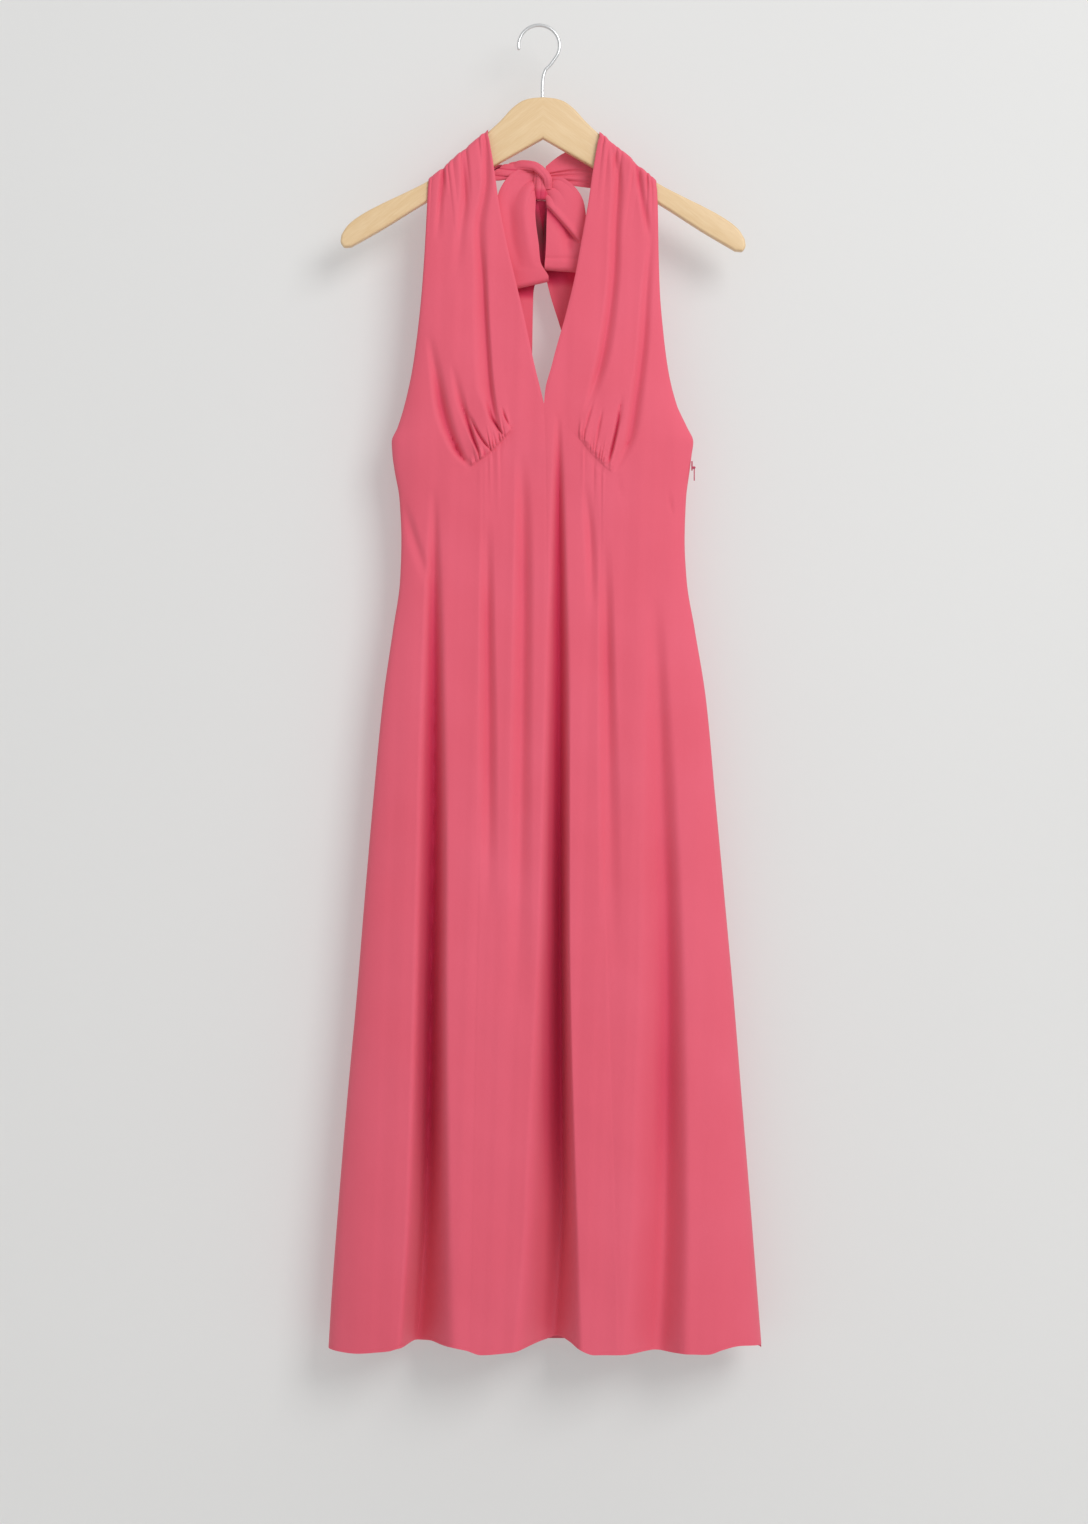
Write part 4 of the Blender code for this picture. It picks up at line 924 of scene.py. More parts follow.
def back_panel(finish):
    """The back, one grid from side seam to side seam."""
    turn = np.sin(np.linspace(-math.pi / 2, math.pi / 2, BACK_COLUMNS + 1))
    share = 0.5 + 0.5 * np.sign(turn) * np.abs(turn) ** BACK_CROWD
    top_z = BACK_TOP_SIDE - BACK_TOP_DIP * (1 - (2 * share - 1) ** 2)
    down = rows_down(BACK_ROWS, BACK_SPREAD)
    z = between(down[:, None], top_z[None, :], HEM)
    x = between(share[None, :], outline["left"](z), outline["right"](z))
    relief = hem_relief(z) - EDGE_ROLL * np.exp(-(top_z[None, :] - z) / EDGE_WIDE)
    return shell("back_cloth", [clothe(np.stack([x, z], -1), relief, 0.0, 1)], finish)


back = back_panel(crepe)
tell(back)

# %% [markdown]
# ## Stitches in the hem
#
# The hem is turned up twice and sewn with one row of machine stitches. The stitches follow a path and
# repeat, so Geometry Nodes set them out: a line on the cloth is cut into equal lengths, and a short
# rounded thread lies along each. The thread is drawn a little thicker than real, to show in the picture.

# %% Stitches
STITCH = {"Spacing": 3.4, "Length": 2.5, "Thread": 0.42}  # mm
STITCH_STAND = 0.15  # how far the thread stands off the cloth
STITCH_POINTS, STITCH_ENDS = 420, 3  # along each side's line, and those left out at the side seams


def hem_path():
    """A line on the cloth round the hem, as two runs of points: the front's and the back's."""
    runs = []
    for facing in (-1, 1):
        z = np.full(STITCH_POINTS, HEM + HEM_STITCH)
        x = between(fractions(STITCH_POINTS - 1), outline["left"](z), outline["right"](z))
        y = cloth_depth(x, z, facing) + facing * (hem_relief(z) + STITCH_STAND)
        lift = hem_lift(x) if facing < 0 else 0.0
        runs.append(np.stack([x, y, z + lift], -1)[STITCH_ENDS:-STITCH_ENDS])
    return runs


print(f"the hem is {sum(lengths_along(run)[-1] for run in hem_path()):.0f} mm round")

# %% Geometry Nodes for stitches
def stitch_tree(finish):
    """A node tree that lays short threads along a line."""
    tree = bpy.data.node_groups.new("stitches along a line", "GeometryNodeTree")
    tree.interface.new_socket("Geometry", in_out="INPUT", socket_type="NodeSocketGeometry")
    for name in STITCH:
        tree.interface.new_socket(name, in_out="INPUT", socket_type="NodeSocketFloat")
    tree.interface.new_socket("Geometry", in_out="OUTPUT", socket_type="NodeSocketGeometry")
    given = put(tree, "NodeGroupInput").outputs
    line = put(tree, "GeometryNodeMeshToCurve", {"Mesh": given["Geometry"]}).outputs[0]
    dots = put(tree, "GeometryNodeCurveToPoints", {"Curve": line, "Length": given["Spacing"]}, mode="LENGTH")
    thread = put(tree, "GeometryNodeMeshUVSphere", {"Segments": 6, "Rings": 4, "Radius": 0.5}).outputs["Mesh"]
    size = put(tree, "ShaderNodeCombineXYZ", {0: given["Thread"], 1: given["Thread"], 2: given["Length"]})
    laid = put(tree, "GeometryNodeInstanceOnPoints", {
        "Points": dots.outputs["Points"], "Instance": thread, "Rotation": dots.outputs["Rotation"],
        "Scale": size.outputs[0]})
    solid = put(tree, "GeometryNodeRealizeInstances", {"Geometry": laid.outputs[0]})
    done = put(tree, "GeometryNodeSetMaterial", {"Geometry": solid.outputs[0], "Material": finish})
    put(tree, "NodeGroupOutput", {0: done.outputs[0]})
    return tree


print("a stitch every", STITCH["Spacing"], "mm")

# %% The hem's stitches
def stitches(name, runs, finish):
    """The stitches along the runs of points, as one plain mesh."""
    points = np.concatenate(runs) * MM
    ends = np.cumsum([len(run) for run in runs])
    edges = [(k, k + 1) for k in range(len(points) - 1) if k + 1 not in ends]
    guide = bpy.data.meshes.new(name + "_line")
    guide.from_pydata(points.tolist(), edges, [])
    carrier = show(name + "_line", guide)
    nodes = carrier.modifiers.new("stitches", "NODES")
    nodes.node_group = stitch_tree(finish)
    for item in nodes.node_group.interface.items_tree:
        if item.in_out == "INPUT" and item.name in STITCH:
            nodes[item.identifier] = STITCH[item.name] * MM
    depsgraph = bpy.context.evaluated_depsgraph_get()
    mesh = bpy.data.meshes.new_from_object(carrier.evaluated_get(depsgraph), depsgraph=depsgraph)
    bpy.data.objects.remove(carrier)
    mesh.shade_smooth()
    return show(name, mesh)


hem_stitches = stitches("hem_stitches", hem_path(), crepe)
print(hem_stitches.name, len(hem_stitches.data.polygons), "faces")

# %% [markdown]
# ## The bow behind the straps
#
# The two straps go over the wood, draw together into ties, and meet in a bow. Each part is a ribbon
# of cloth along a short route, so each is a grid again: down its length and across its width.

# %% Ribbons
KNOT_X, KNOT_DEPTH = 2.4, 10.0  # the middle of the knot, where the ribbons meet


def ribbon(name, grid, finish, thick=1.2, painted_shade=0.0):
    """A closed shell about a grid, half its thickness to each side."""
    normal = normals_of(grid)
    return shell(name, [(grid + normal * thick / 2, grid - normal * thick / 2, np.asarray(painted_shade))], finish)


print("the ribbons meet", KNOT_DEPTH, "mm behind the middle of the wood")

# %% [markdown]
# ## The ties
#
# Behind the wood each strap narrows to a tie. The left one is rolled up like rope by the pull of the
# knot, and the right one lies in flat folds, so one is a grid wound round a route and the other a grid
# drawn together from the strap's width to the knot's.

# %% Ties
TIE_TOP, TIE_BOTTOM, TIE_END = -151.0, -168.5, 10.7  # the right tie's end at the knot: its edges and depth
TIE_COLUMNS, TIE_ROWS = 90, 90
TIE_EASE, TIE_DEPTH_EASE = 0.9, 0.6
TIE_RISE = 9.0  # how far the right tie's upper edge arches up
TIE_TUCK = 5.0  # where the right tie ends under the band, from the knot's middle
TIE_FOLDS = ((0.5, 0.035, 2.4), (0.36, 0.05, 1.6), (0.16, 0.06, 2.4), (0.8, 0.12, 1.0))  # share, width, depth
ROLL_FROM, ROLL_DEPTH = 0.4, 8.6  # the left tie is rolled from this share of its length on, at this depth
ROLL_TURN, ROLL_TWIST = 330.0, 260.0  # degrees round the roll, and along it
ROLL_THICK = 3.2  # half of the roll's thickness; the table gives half of its height
ROLL = table(
    "along x z tall", (0, -52, -160, 7.6), (0.5, -36, -157, 7.6), (0.8, -26, -154.4, 7),
    (1, -14, -153, 5.4),
)


def strap_ends(side):
    """Where a tie starts: the end of its strap, behind the wood, as X, depth and height."""
    strap = np.linspace(getattr(OUTLINE[0], side), getattr(NECKLINE[0], side), TIE_COLUMNS + 1)
    start_z = hanger_top(strap) - TURN_DROP - TURN_BACK - SEAM_GAP
    return np.stack([strap, np.full_like(strap, STRAP_CLEAR - 0.8), start_z], -1)


print(f"the left tie starts {np.ptp(strap_ends('left')[:, 0]):.0f} mm wide")

# %% The rolled tie
def rolled_tie(finish):
    """The left tie: drawn together behind its strap, then rolled up like rope to the knot."""
    flat, curve = strap_ends("left"), columns_of(ROLL, "along")
    share, rows, roll_shades = fractions(TIE_COLUMNS), [], []
    for run in fractions(TIE_ROWS):
        along = np.clip((run - ROLL_FROM) / (1 - ROLL_FROM), 0, 1)
        angle = np.radians(ROLL_TURN * (share - 0.5) + ROLL_TWIST * run)
        strand = np.abs(np.cos(2.5 * angle + 7 * run)) ** 0.7
        size = 1 + 0.34 * (strand - 0.6)
        centre_x, centre_z, tall = (curve[n](along) for n in ("x", "z", "tall"))
        rolled = np.stack([centre_x + 0 * share, ROLL_DEPTH + ROLL_THICK * size * np.sin(angle),
                           centre_z + tall * size * np.cos(angle)], -1)
        drawn = ease(0, ROLL_FROM, run)
        rows.append(between(drawn, flat, rolled))
        # Painted shade between the strands of the roll
        roll_shades.append(drawn * (1 - strand))
    return ribbon("tie_left_cloth", np.array(rows), finish, 0.8, np.array(roll_shades))


tie_left = rolled_tie(crepe)
tell(tie_left)

# %% The folded tie
def folded_tie(finish):
    """The right tie: wide, laid in flat folds, and narrowing to the knot."""
    flat = strap_ends("right")
    share, run = fractions(TIE_COLUMNS), fractions(TIE_ROWS)[:, None]
    drawn = run ** TIE_EASE
    x = between(drawn, flat[:, 0], KNOT_X + TIE_TUCK)
    end_z = between(share, TIE_BOTTOM, TIE_TOP)
    z = between(drawn, flat[:, 2], end_z) + TIE_RISE * share * np.sin(math.pi * run)
    valley = sum(deep * bell(share - at, wide) for at, wide, deep in TIE_FOLDS)
    y = between(run ** TIE_DEPTH_EASE, flat[:, 1], TIE_END)
    y = y + ease(0.3, 0.8, run) * (valley - 1.2 * np.sin(math.pi * np.clip(share / 0.35, 0, 1)))
    # Shade is painted into the folds' valleys, more towards the knot
    return ribbon("tie_right_cloth", np.stack([x, y, z], -1), finish, 0.9, 0.3 * np.clip(valley, 0, 2) * run)


tie_right = folded_tie(crepe)
tell(tie_right)

# %% [markdown]
# ## The loops
#
# A loop is a band that goes down in front, bends, and comes up behind to the knot, so its grid does too.
# The pull of the knot creases its top. The left one has a long soft dent, and the right one is folded
# over itself, with a deep corner under the fold. Little light gets inside, so shade is painted there in
# the deepest red, and painted in the creases, the dent and the corner too.

# %% The front of a loop
LOOP_COLUMNS, LOOP_ROWS, BEND_ROWS = 80, 110, 14
GAP_FILL = {"left": 7.0, "right": -3.0}  # how far a loop's back half reaches into the gap between them
STEP_START, STEP_END = np.array([8.8, -194.7]), np.array([37.4, -227.7])  # the right loop's inner fold
STEP_DEEP, LIP, CORNER_DEEP, LOOP_HEM = 5.5, 1.2, 4.0, 0.7  # depths of that fold and heights beside it
CORNER = (35.0, -236.0)  # the dip under that fold's outer end, where shade is painted too
DENT, RIDGE = 4.2, 1.8  # depth and height of the left loop's long dent and the ridge beside it
LOOP_SWELL = {"left": 2.4, "right": 1.6}  # how far the front of a loop swells
LOOP_INSIDE_SHADE = 1.6  # how much shade is painted on the inside of a loop
LOOP_SIZES = "along outer_x outer_z inner_x inner_z front back"
# Each loop, along its length from the knot down to its bend
LOOPS = {
    "left": table(
        LOOP_SIZES, (0.00, -4, -153.5, -3, -184, 8.6, 12.4), (0.12, -20, -155, -4, -190, 5.6, 13.2),
        (0.28, -38, -169, -4.4, -204, 4.2, 14), (0.42, -46, -190, -3.4, -217, 3.8, 14.4),
        (0.62, -43, -220, -0.6, -238, 3.6, 14.8), (0.82, -33.5, -256, 1.4, -257, 3.8, 14.8),
        (1.00, -25, -281, 10.5, -273, 4.4, 14.4),
    ),
    "right": table(
        LOOP_SIZES, (0.00, 9, -166, 7, -187, 6.6, 12.4), (0.12, 21, -164, 8.4, -192, 4.8, 13),
        (0.28, 38, -174, 8.8, -201, 3, 13.6), (0.45, 49.5, -194, 8.4, -215, 2.4, 13.8),
        (0.65, 53, -226, 8, -233, 2.2, 13.8), (0.85, 50, -249, 7.2, -250, 2.4, 13.6),
        (1.00, 42, -263, 6.2, -260.5, 3, 13.2),
    ),
}


def loop_relief(side, x, z, along, share):
    """How far back the front half of a loop lies behind its plain form, and the shade painted in its hollows.
    """
    creases = 1 - np.abs(np.cos(math.pi * (3.2 * share + 0.15))) ** 0.7
    near_knot = max(0.0, 1 - along / 0.42) ** 1.4
    back = 2.2 * creases * near_knot
    # Painted shade in the creases by the knot, in the dent, and under the fold and its corner
    painted_shade = 0.8 * creases * near_knot
    if side == "left":
        length = math.sin(math.pi * min(1.0, (along + 0.05) / 0.95)) ** 0.7
        dent = bell(share - 0.36 + 0.1 * along, 0.2) * length
        ridge = bell(share - 0.74, 0.15) * length
        return back + DENT * dent - RIDGE * ridge, np.maximum(painted_shade, 0.42 * dent)
    way = (STEP_END - STEP_START) / np.linalg.norm(STEP_END - STEP_START)
    down = (x - STEP_START[0]) * way[0] + (z - STEP_START[1]) * way[1]
    over = -(x - STEP_START[0]) * way[1] + (z - STEP_START[1]) * way[0]
    reach = ease(-5, 5, down) * (1 - ease(40, 62, down))
    under = 1 - ease(-1.4, 0.6, over)
    step = under * np.exp(np.minimum(over, 0) / 15) * reach
    lip = bell(over - 2.5, 3) * reach
    corner = under * np.exp(-((x - CORNER[0]) / 9) ** 2 - ((z - CORNER[1]) / 19) ** 2)
    hem = bell(along - 0.9, 0.03)
    return (back + STEP_DEEP * step - LIP * lip + CORNER_DEEP * corner + LOOP_HEM * hem,
            np.maximum(painted_shade, np.maximum(0.95 * step, 0.6 * corner)))


print(f"the left loop is {LOOPS['left'][0].outer_z - LOOPS['left'][-1].outer_z:.0f} mm long")

# %% A whole loop
def loop(side, finish):
    """One loop of the bow: a band that goes down in front, bends, and comes up behind."""
    curve = columns_of(LOOPS[side], "along")
    # The columns run from the loop's left edge on both sides, so that its faces look out
    share = fractions(LOOP_COLUMNS)[::1 if side == "left" else -1]

    def line(along, face):
        fill = GAP_FILL[side] * math.sin(math.pi * along) if face == "back" else 0.0
        x = between(share, curve["outer_x"](along), curve["inner_x"](along) + fill)
        z = between(share, curve["outer_z"](along), curve["inner_z"](along))
        y = curve[face](along) + 0 * share
        if face == "back":
            # The back half's side that faces the front is the loop's inside, painted with shade
            return np.stack([x, y, z], -1), none, none + LOOP_INSIDE_SHADE * math.sin(math.pi * along)
        relief, painted_shade = loop_relief(side, x, z, along, share)
        puff = -LOOP_SWELL[side] * np.sin(math.pi * share) ** 0.7 * math.sin(math.pi * along) ** 0.7
        return np.stack([x, y + puff + relief * (1 - ease(0.9, 1.0, along)), z], -1), painted_shade, none

    none = np.zeros(len(share))
    down = fractions(LOOP_ROWS)
    low_front, low_back = line(1.0, "front")[0], line(1.0, "back")[0]
    middle, radius = (low_front + low_back) / 2, (low_back - low_front)[:, 1] / 2
    rows = [line(a, "front") for a in down]
    for angle in np.linspace(0, math.pi, BEND_ROWS + 2)[1:-1]:
        bend = middle.copy()
        bend[:, 1] -= radius * math.cos(angle)
        bend[:, 2] -= radius * math.sin(angle)
        rows.append((bend, none, none))
    rows += [line(a, "back") for a in down[::-1]]
    grid, outside_shade, inside_shade = (np.array(part) for part in zip(*rows))
    return ribbon("bow_loop_" + side + "_cloth", grid, finish, 1.2, (outside_shade, inside_shade))


loops = {side: loop(side, crepe) for side in LOOPS}
tell(*loops.values())

# %% [markdown]
# ## The tails
#
# The two ends of the ties hang from the knot behind the loops, and widen as they leave its pull. Right
# under the loops their fronts lie in shade, which is painted into their colour.

# %% Tails
TAIL_COLUMNS, TAIL_ROWS = 30, 90
UNDER_LOOP_SHADE = 0.95  # how much shade is painted on a tail's front there
LOOP_SHADES = {"left": (-308, -286), "right": (-297, -270)}  # heights between which that painted shade fades out
TAILS = {
    "left": table(
        "height left right depth", (-189, -3.6, 6, 12), (-196, -4.4, 6.4, 16.6), (-206, -9, 7, 20.2),
        (-245, -30, 8.6, 22.4), (-266, -37, 7.6, 22.8), (-280, -41, -4.8, 23), (-290, -44, -6.4, 23),
        (-357, -50, -7.7, 22), (-418, -52, -9, 20),
    ),
    "right": table(
        "height left right depth", (-189, 0.5, 9, 12.4), (-196, 0.8, 10.4, 17), (-206, 2, 15, 20),
        (-245, 3, 34, 21.6), (-268, 7, 42, 21.8), (-290, 12.2, 50, 22), (-337, 26.4, 62, 21),
        (-408, 41, 74, 19),
    ),
}


def tail(side, finish):
    """One tail of the bow, which hangs from the knot behind the loops."""
    curve = columns_of(TAILS[side])
    z = np.linspace(TAILS[side][0].height, TAILS[side][-1].height, TAIL_ROWS + 1)[:, None]
    share = fractions(TAIL_COLUMNS)[None, :]
    x = between(share, curve["left"](z), curve["right"](z))
    grown = np.clip((-200 - z) / 60, 0, 1)
    y = curve["depth"](z) + 1.6 * np.sin(2 * math.pi * share + 1.1) * grown
    # Shade painted on a tail's front, right under the loops
    shade = UNDER_LOOP_SHADE * ease(*LOOP_SHADES[side], z) + 0 * share
    return ribbon("bow_tail_" + side + "_cloth", np.stack([x, y, z + 0 * share], -1), finish, 1.0,
                  (shade, 0 * shade))


tails = {side: tail(side, crepe) for side in TAILS}
tell(*tails.values())

# %% [markdown]
# ## The knot
#
# The knot is cloth bunched to a tight core, with a band that wraps over it from the left tie. Both are
# tubes along a route, with rings that are uneven where the cloth is folded.

# %% Knot
KNOT_POINTS, KNOT_LEVELS, KNOT_TRIM = 96, 60, 0.96
BUNCH_Z, BUNCH_HALF = -173.0, np.array([8.6, 7.0, 16.0])  # the knot's bunched middle
BAND_RINGS = 70
# The band over the knot: its route, and half its width and thickness
BAND = table(
    "along x y z wide deep", (0, -30, 8.4, -153.6, 4.6, 2.6), (0.22, -19, 5.4, -150.6, 5.2, 3.2),
    (0.45, -7.5, 2.6, -151.8, 5, 3.4), (0.68, 3, 1, -158.6, 4.9, 3.4), (0.86, 9.6, 1.6, -168, 4.6, 3.2),
    (1, 10.4, 5, -177.5, 3.4, 2.2),
)


def tube(centres, ways, radii, sides, shape=None):
    """The points and faces of a closed tube with round rings; shape gives a ring's uneven sizes."""
    turn = np.linspace(0, 2 * math.pi, sides, endpoint=False)
    points = []
    for at, (centre, way, radius) in enumerate(zip(centres, ways, radii)):
        wide, deep = np.broadcast_to(radius, 2)
        size = shape(at / (len(radii) - 1), turn) if shape else 1.0
        points.append(np.stack([centre[0] - wide * size * np.cos(turn) * way[1],
                                centre[1] + deep * size * np.sin(turn),
                                centre[2] + wide * size * np.cos(turn) * way[0]], -1))
    last = (len(points) - 1) * sides
    faces = [tuple(range(sides)), tuple(range(last, last + sides))]
    for ring in range(0, last, sides):
        for k in range(sides):
            a, b = ring + k, ring + (k + 1) % sides
            faces.append((a, b, b + sides, a + sides))
    return np.concatenate(points), faces


def strands(along, turn):
    """The fine folds of the band, as uneven sizes round a ring."""
    return 1 + 0.13 * (np.abs(np.cos(2.5 * turn + 3.2 * along + 0.6)) ** 0.7 - 0.6)


def bunched(along, turn):
    """The coarser folds of the knot's core."""
    return 1 + 0.16 * (np.abs(np.cos(3.5 * turn + 1.5 * along)) ** 0.6 - 0.6)


print("the knot's core is", 2 * BUNCH_HALF, "mm wide, deep and high")

# %% Core and band
def knot(finish):
    """The core and the band, as one mesh of two closed tubes."""
    level = np.linspace(-KNOT_TRIM, KNOT_TRIM, KNOT_LEVELS + 1)
    size = (1 - np.abs(level) ** 4) ** 0.25
    centres = np.stack([np.full_like(level, KNOT_X), np.full_like(level, KNOT_DEPTH),
                        BUNCH_Z + BUNCH_HALF[2] * level], -1)
    upward = [(0, 1)] * len(level)
    bunch, bunch_faces = tube(centres, upward, size[:, None] * BUNCH_HALF[:2], KNOT_POINTS, bunched)
    curve = columns_of(BAND, "along")
    along = fractions(BAND_RINGS)
    route = np.stack([curve[n](along) for n in ("x", "y", "z")], -1)
    ways = unit(np.gradient(route[:, ::2], axis=0))
    radii = np.stack([curve["wide"](along), curve["deep"](along)], -1)
    band, band_faces = tube(route, ways, radii, KNOT_POINTS, strands)
    faces = bunch_faces + [tuple(c + len(bunch) for c in face) for face in band_faces]
    piece = add_mesh("bow_knot_cloth", np.concatenate([bunch, band]), faces, finish)
    # Painted shade on the front half of the core, deeper towards its bottom under the band
    under_band_shade = (0.3 + 0.5 * ease(-172, -182, bunch[:, 2])) * (bunch[:, 1] < KNOT_DEPTH)
    mark_painted_shade(piece, np.concatenate([under_band_shade, np.zeros(len(band))]))
    return piece


bow = {"bow_knot": knot(crepe), "tie_left": tie_left, "tie_right": tie_right}
for side in loops:
    bow["bow_loop_" + side] = loops[side]
    bow["bow_tail_" + side] = tails[side]
tell(bow["bow_knot"])

# %% [markdown]
# ## The wooden hanger
#
# The hanger is cut from pale wood, with its edges rounded over and a thin clear lacquer. Its two arms
# are separate boards joined at the crown, so the grain runs along each arm and meets in a soft angle
# under the hook. One board is a little darker than the other, but both are given the same colours here.

# %% Wood
GRAIN = 2.2  # mm between growth lines, as cut
PORE = (0.9, 14.0)  # width and length of the pores, mm
ARM_SLOPE = 37.5  # degrees below level


def wood_material():
    """Pale wood whose grain runs down each arm, mirrored about the crown."""
    material, tree, wood, place = new_material("lacquered pale wood", {
        "IOR": 1.5, "Coat Weight": 0.25, "Coat Roughness": 0.3})
    centred = put(tree, "ShaderNodeMapping", {"Vector": place, "Location": (-HANGER_CENTRE * MM, 0, 0)})
    parts = put(tree, "ShaderNodeSeparateXYZ", {0: centred.outputs[0]})
    mirrored = put(tree, "ShaderNodeMath", {0: parts.outputs[0]}, operation="ABSOLUTE").outputs[0]
    folded = put(tree, "ShaderNodeCombineXYZ", {0: mirrored, 1: parts.outputs[1], 2: parts.outputs[2]})
    along = put(tree, "ShaderNodeMapping", {
        "Vector": folded.outputs[0], "Rotation": (0, -math.radians(ARM_SLOPE), 0)}).outputs[0]
    stretched = put(tree, "ShaderNodeMapping", {
        "Vector": along, "Scale": (1000 / 90, 1000 / (6 * GRAIN), 1000 / (3 * GRAIN))}).outputs[0]
    broad = put(tree, "ShaderNodeTexNoise", {
        "Vector": stretched, "Scale": 1.0, "Detail": 4.0, "Distortion": 0.6}).outputs[0]
    pores = put(tree, "ShaderNodeMapping", {
        "Vector": along, "Scale": (1000 / PORE[1], 1000 / PORE[0], 1000 / PORE[0])}).outputs[0]
    fine = put(tree, "ShaderNodeTexNoise", {"Vector": pores, "Scale": 1.0, "Detail": 2.0}).outputs[0]
    mixed = put(tree, "ShaderNodeMath", {0: fine, 1: broad, 2: 0.3}, operation="MULTIPLY_ADD").outputs[0]
    share = put(tree, "ShaderNodeMapRange", {"Value": mixed, "From Min": 0.3, "From Max": 0.9}).outputs[0]
    rough = put(tree, "ShaderNodeMapRange", {"Value": fine, "To Min": 0.4, "To Max": 0.6}).outputs[0]
    bump = put(tree, "ShaderNodeBump", {"Height": fine, "Strength": 0.15, "Distance": 0.0002})
    colour = blend_colours(tree, share, "#d2b081", "#e4caa3")
    feed(tree, wood, {"Base Color": colour, "Roughness": rough, "Normal": bump.outputs[0]})
    return material


pale_wood = wood_material()
print("made", pale_wood.name)

# %% Hanger board
HANGER_THICK, HANGER_ROUND = 12.0, 2.6  # thickness of the board, and the rounding of its edges
# The board's end, and its lower edge back in to the angle under the middle
HANGER_END = ((222.5, -239.0), (218.0, -245.0), (211.0, -244.4))
HANGER_LOWER = ((177, -224.8), (127, -193.6), (55, -154.5), (0, -123.2))


def wooden_hanger(finish):
    """The board: its outline extruded, then its edges rounded by a Bevel modifier."""
    runs = np.concatenate([np.linspace(0, 60, 31), np.linspace(64, 200, 35), np.linspace(202, 221.5, 14)])
    half = [(run, float(level_top(run))) for run in runs]
    half += [tuple(p) for p in path(((221.5, -231.5), *HANGER_END), fractions(14))[1:]]
    half += [tuple(p) for p in path((HANGER_END[-1], *HANGER_LOWER[:-1]), fractions(24))[1:]]
    half.append(tuple(HANGER_LOWER[-1]))
    around = half + [(-run, top) for run, top in half[-2:0:-1]]
    shape = bmesh.new()
    corners = []
    for run, top in around:
        place = (HANGER_CENTRE + run, -HANGER_THICK / 2, top - tilt_drop(run))
        corners.append(shape.verts.new([c * MM for c in place]))
    board = shape.faces.new(corners)
    pushed = bmesh.ops.extrude_face_region(shape, geom=[board])
    for vertex in (v for v in pushed["geom"] if isinstance(v, bmesh.types.BMVert)):
        vertex.co.y += HANGER_THICK * MM
    bmesh.ops.recalc_face_normals(shape, faces=shape.faces[:])
    mesh = bpy.data.meshes.new("hanger_board")
    shape.to_mesh(mesh)
    shape.free()
    mesh.materials.append(finish)
    wood = show("hanger_board", mesh)
    rounded = wood.modifiers.new("rounded edges", "BEVEL")
    rounded.width = HANGER_ROUND * MM
    rounded.segments = 6
    rounded.limit_method = "ANGLE"
    rounded.angle_limit = math.radians(60)
    mesh.shade_smooth()
    return wood


hanger = wooden_hanger(pale_wood)
print("hanger:", len(hanger.data.polygons), "faces")

# %% [markdown]
# ## The wire hook
#
# The hook is drawn steel wire with a thin zinc plating, bent to an arc and let into the wood. It is a
# round tube along its route. Drawing leaves fine marks, which only show as a slightly uneven gloss.

# %% Hook
WIRE_RADIUS, HOOK_RADIUS = 1.9, 22.5
HOOK_ENDS = (188, -32)  # degrees round the arc
STEM_X, STEM_END = 3.6, -92.5
HOOK_NECK = ((12.6, -41.6), (6.8, -48.0), (4.4, -56.0), (STEM_X, -68.0), (STEM_X, STEM_END))


def hook_route():
    """The middle of the wire, from its free end round the arc and down into the wood."""
    centre = -(HOOK_RADIUS - WIRE_RADIUS)
    turns = np.radians(np.linspace(*HOOK_ENDS, 61))
    arc = np.stack([HOOK_RADIUS * np.cos(turns), centre + HOOK_RADIUS * np.sin(turns)], -1)
    return np.concatenate([arc, path((tuple(arc[-1]), *HOOK_NECK), fractions(40))[1:]])


def wire_hook(finish):
    """Round wire, with its free end rounded over."""
    route = hook_route()
    ahead = unit(np.gradient(route, axis=0))
    turns = np.radians((85, 65, 45, 25))
    tip = route[0] - ahead[0] * (WIRE_RADIUS * np.sin(turns))[:, None]
    centres = np.concatenate([tip, route])
    ways = np.concatenate([np.repeat(ahead[:1], len(tip), axis=0), ahead])
    radii = WIRE_RADIUS * np.concatenate([np.cos(turns), np.ones(len(route))])
    centres = np.stack([centres[:, 0], np.zeros(len(centres)), centres[:, 1]], -1)
    return add_mesh("hook_wire", *tube(centres, ways, radii, 24), finish)


def wire_material():
    """Bright plated wire with a slightly uneven gloss."""
    material, tree, wire, place = new_material("zinc plated steel wire", {
        "Base Color": linear("#d9dadb"), "Metallic": 1.0})
    drawn = put(tree, "ShaderNodeTexNoise", {"Vector": place, "Scale": 900.0, "Detail": 2.0}).outputs[0]
    rough = put(tree, "ShaderNodeMapRange", {"Value": drawn, "To Min": 0.22, "To Max": 0.38}).outputs[0]
    feed(tree, wire, {"Roughness": rough})
    return material


hook = wire_hook(wire_material())
print("hook:", len(hook.data.polygons), "faces")

# %% [markdown]
# ## The zip
#
# The side seam holds an invisible zip, of which only the slider and its drop-shaped pull tab show. They
# are zinc, painted to match the cloth, so they are a little glossier than it.

# %% Painted zinc
def zip_material():
    """Cast zinc under a thin glossy paint, a little worn."""
    material, tree, paint, place = new_material("painted zinc", {
        "IOR": 1.5, "Coat Weight": 0.4, "Coat Roughness": 0.2})
    worn = put(tree, "ShaderNodeTexNoise", {"Vector": place, "Scale": 800.0, "Detail": 2.0}).outputs[0]
    rough = put(tree, "ShaderNodeMapRange", {"Value": worn, "To Min": 0.35, "To Max": 0.5}).outputs[0]
    feed(tree, paint, {"Roughness": rough, "Base Color": blend_colours(tree, worn, "#a8284a", "#b83252")})
    return material


zinc = zip_material()
for name in ("zip_slider", "zip_pull"):
    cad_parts[name].material_slots[0].material = zinc
print("zip painted")

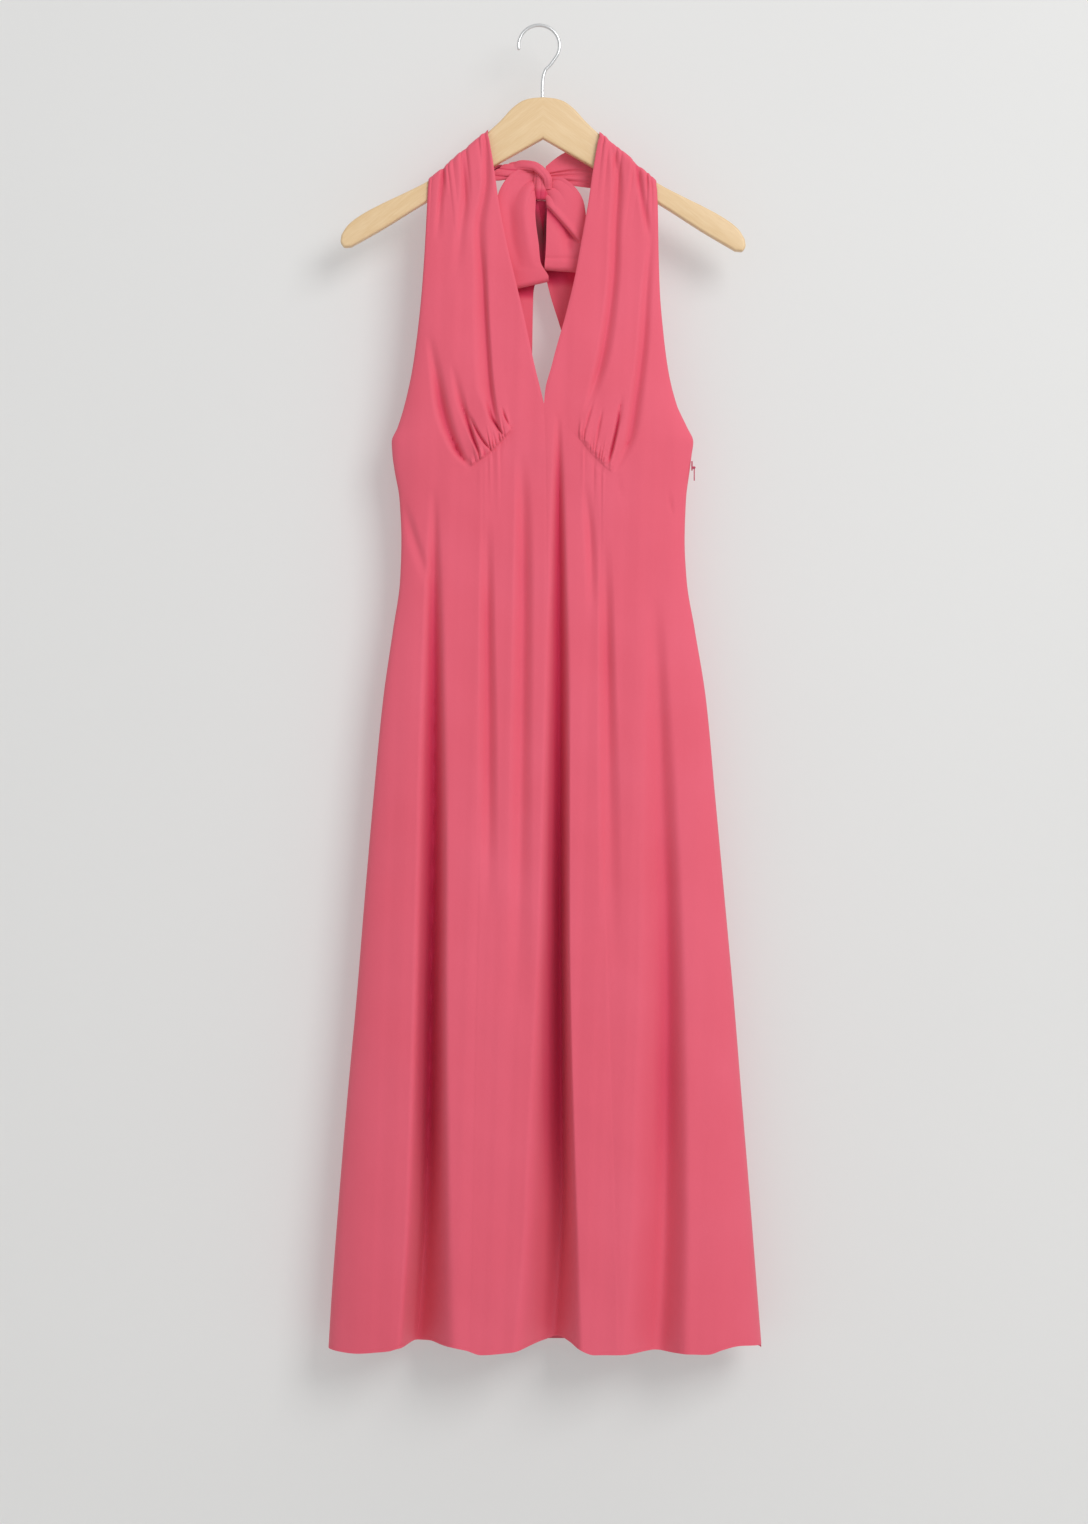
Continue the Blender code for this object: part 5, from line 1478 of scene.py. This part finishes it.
# %% [markdown]
# ## Studio
#
# A plain pale wall stands just behind the dress and catches its soft shadow, and a pale floor lies
# below the picture. The wall shows only from its front and casts no shadow itself, so that the dress's
# back can be looked at too. A large soft light stands to the right and above, the way the shadow falls.

# %% Wall and floor
WALL_AT, WALL_TOP = 58.0, 3000
FLOOR_AT = -1670.0
ROOM = 5000  # how far the wall and the floor reach to each side
SKY, SKY_STRENGTH = "#eeeeee", 0.74
WALL_GLOW = 0.245  # light that the wall gives off itself, which softens the shadows on it


def matt(name, dark, light, one_sided=False, glow=0.0):
    """Matt paint, which can be clear from behind and give off a little light."""
    material, tree, paint, place = new_material(name, {
        "Roughness": 0.95, "Specular IOR Level": 0.1,
        "Emission Color": linear("#ffffff"), "Emission Strength": glow})
    tone = put(tree, "ShaderNodeTexNoise", {"Vector": place, "Scale": 1.5, "Detail": 3.0}).outputs[0]
    share = put(tree, "ShaderNodeMapRange", {"Value": tone, "From Min": 0.3, "From Max": 0.7}).outputs[0]
    feed(tree, paint, {"Base Color": blend_colours(tree, share, dark, light)})
    if one_sided:
        clear = put(tree, "ShaderNodeBsdfTransparent")
        behind = put(tree, "ShaderNodeNewGeometry").outputs["Backfacing"]
        both = put(tree, "ShaderNodeMixShader", {0: behind, 1: paint.outputs[0], 2: clear.outputs[0]})
        ending = next(n for n in tree.nodes if n.type == "OUTPUT_MATERIAL")
        feed(tree, ending, {"Surface": both.outputs[0]})
    return material


def plane(name, corners, finish):
    """A flat surface of the studio, which isn't part of the dress."""
    mesh = bpy.data.meshes.new(name)
    mesh.from_pydata([[c * MM for c in corner] for corner in corners], [], [(0, 1, 2, 3)])
    mesh.materials.append(finish)
    made = show(name, mesh)
    return made


backdrop = plane("backdrop", ((-ROOM, WALL_AT, FLOOR_AT), (ROOM, WALL_AT, FLOOR_AT),
                              (ROOM, WALL_AT, WALL_TOP), (-ROOM, WALL_AT, WALL_TOP)),
                 matt("matt wall paint", "#b6b6b5", "#b8b8b7", True, WALL_GLOW))
backdrop.visible_shadow = False
plane("floor", ((-ROOM, -ROOM, FLOOR_AT), (ROOM, -ROOM, FLOOR_AT),
                (ROOM, ROOM, FLOOR_AT), (-ROOM, ROOM, FLOOR_AT)),
      matt("matt floor paint", "#d1d1cf", "#d3d3d1"))
print("wall", WALL_AT, "mm behind the dress, floor at", FLOOR_AT)

# %% Lights
LIGHTS = table(
    "name place aim size watts",
    ("key", (2000, -3300, 1300), (0, 0, -800), 2000, 104),
    ("behind", (-600, 2600, 600), (0, 0, -700), 1800, 30),
)
for light in LIGHTS:
    lamp = bpy.data.lights.new(light.name, "AREA")
    lamp.size = light.size * MM
    lamp.energy = light.watts
    made = show(light.name, lamp)
    made.location = Vector(light.place) * MM
    made.rotation_euler = (Vector(light.aim) - Vector(light.place)).to_track_quat("-Z", "Y").to_euler()
    made.visible_camera = False
print(len(LIGHTS), "lights")

# %% The light from all round
world = bpy.data.worlds.new("pale studio")
world.use_nodes = True
sky = next(n for n in world.node_tree.nodes if n.type == "BACKGROUND")
sky.inputs["Color"].default_value = linear(SKY)
sky.inputs["Strength"].default_value = SKY_STRENGTH
bpy.context.scene.world = world
bpy.context.scene.view_settings.view_transform = "Standard"
print("sky", SKY, SKY_STRENGTH)

# %% [markdown]
# ## What each piece stands for
#
# Every piece hides the solids it replaces and moves with the body of the dress.

# %% Pieces and bodies
def nodes_for(start):
    """The solids whose names start with a piece's name."""
    return [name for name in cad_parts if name.startswith(start)]


for side, half in halves.items():
    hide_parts(*nodes_for("front_" + side))
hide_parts(*nodes_for("back"))
for node, piece in bow.items():
    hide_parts(node)
for piece in (*halves.values(), back, hem_stitches, *bow.values()):
    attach(piece, "dress")
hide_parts("hanger_wood")
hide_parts("hanger_hook")
for piece, slot in ((hanger, "hanger"), (hook, "hook")):
    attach(piece, "dress")
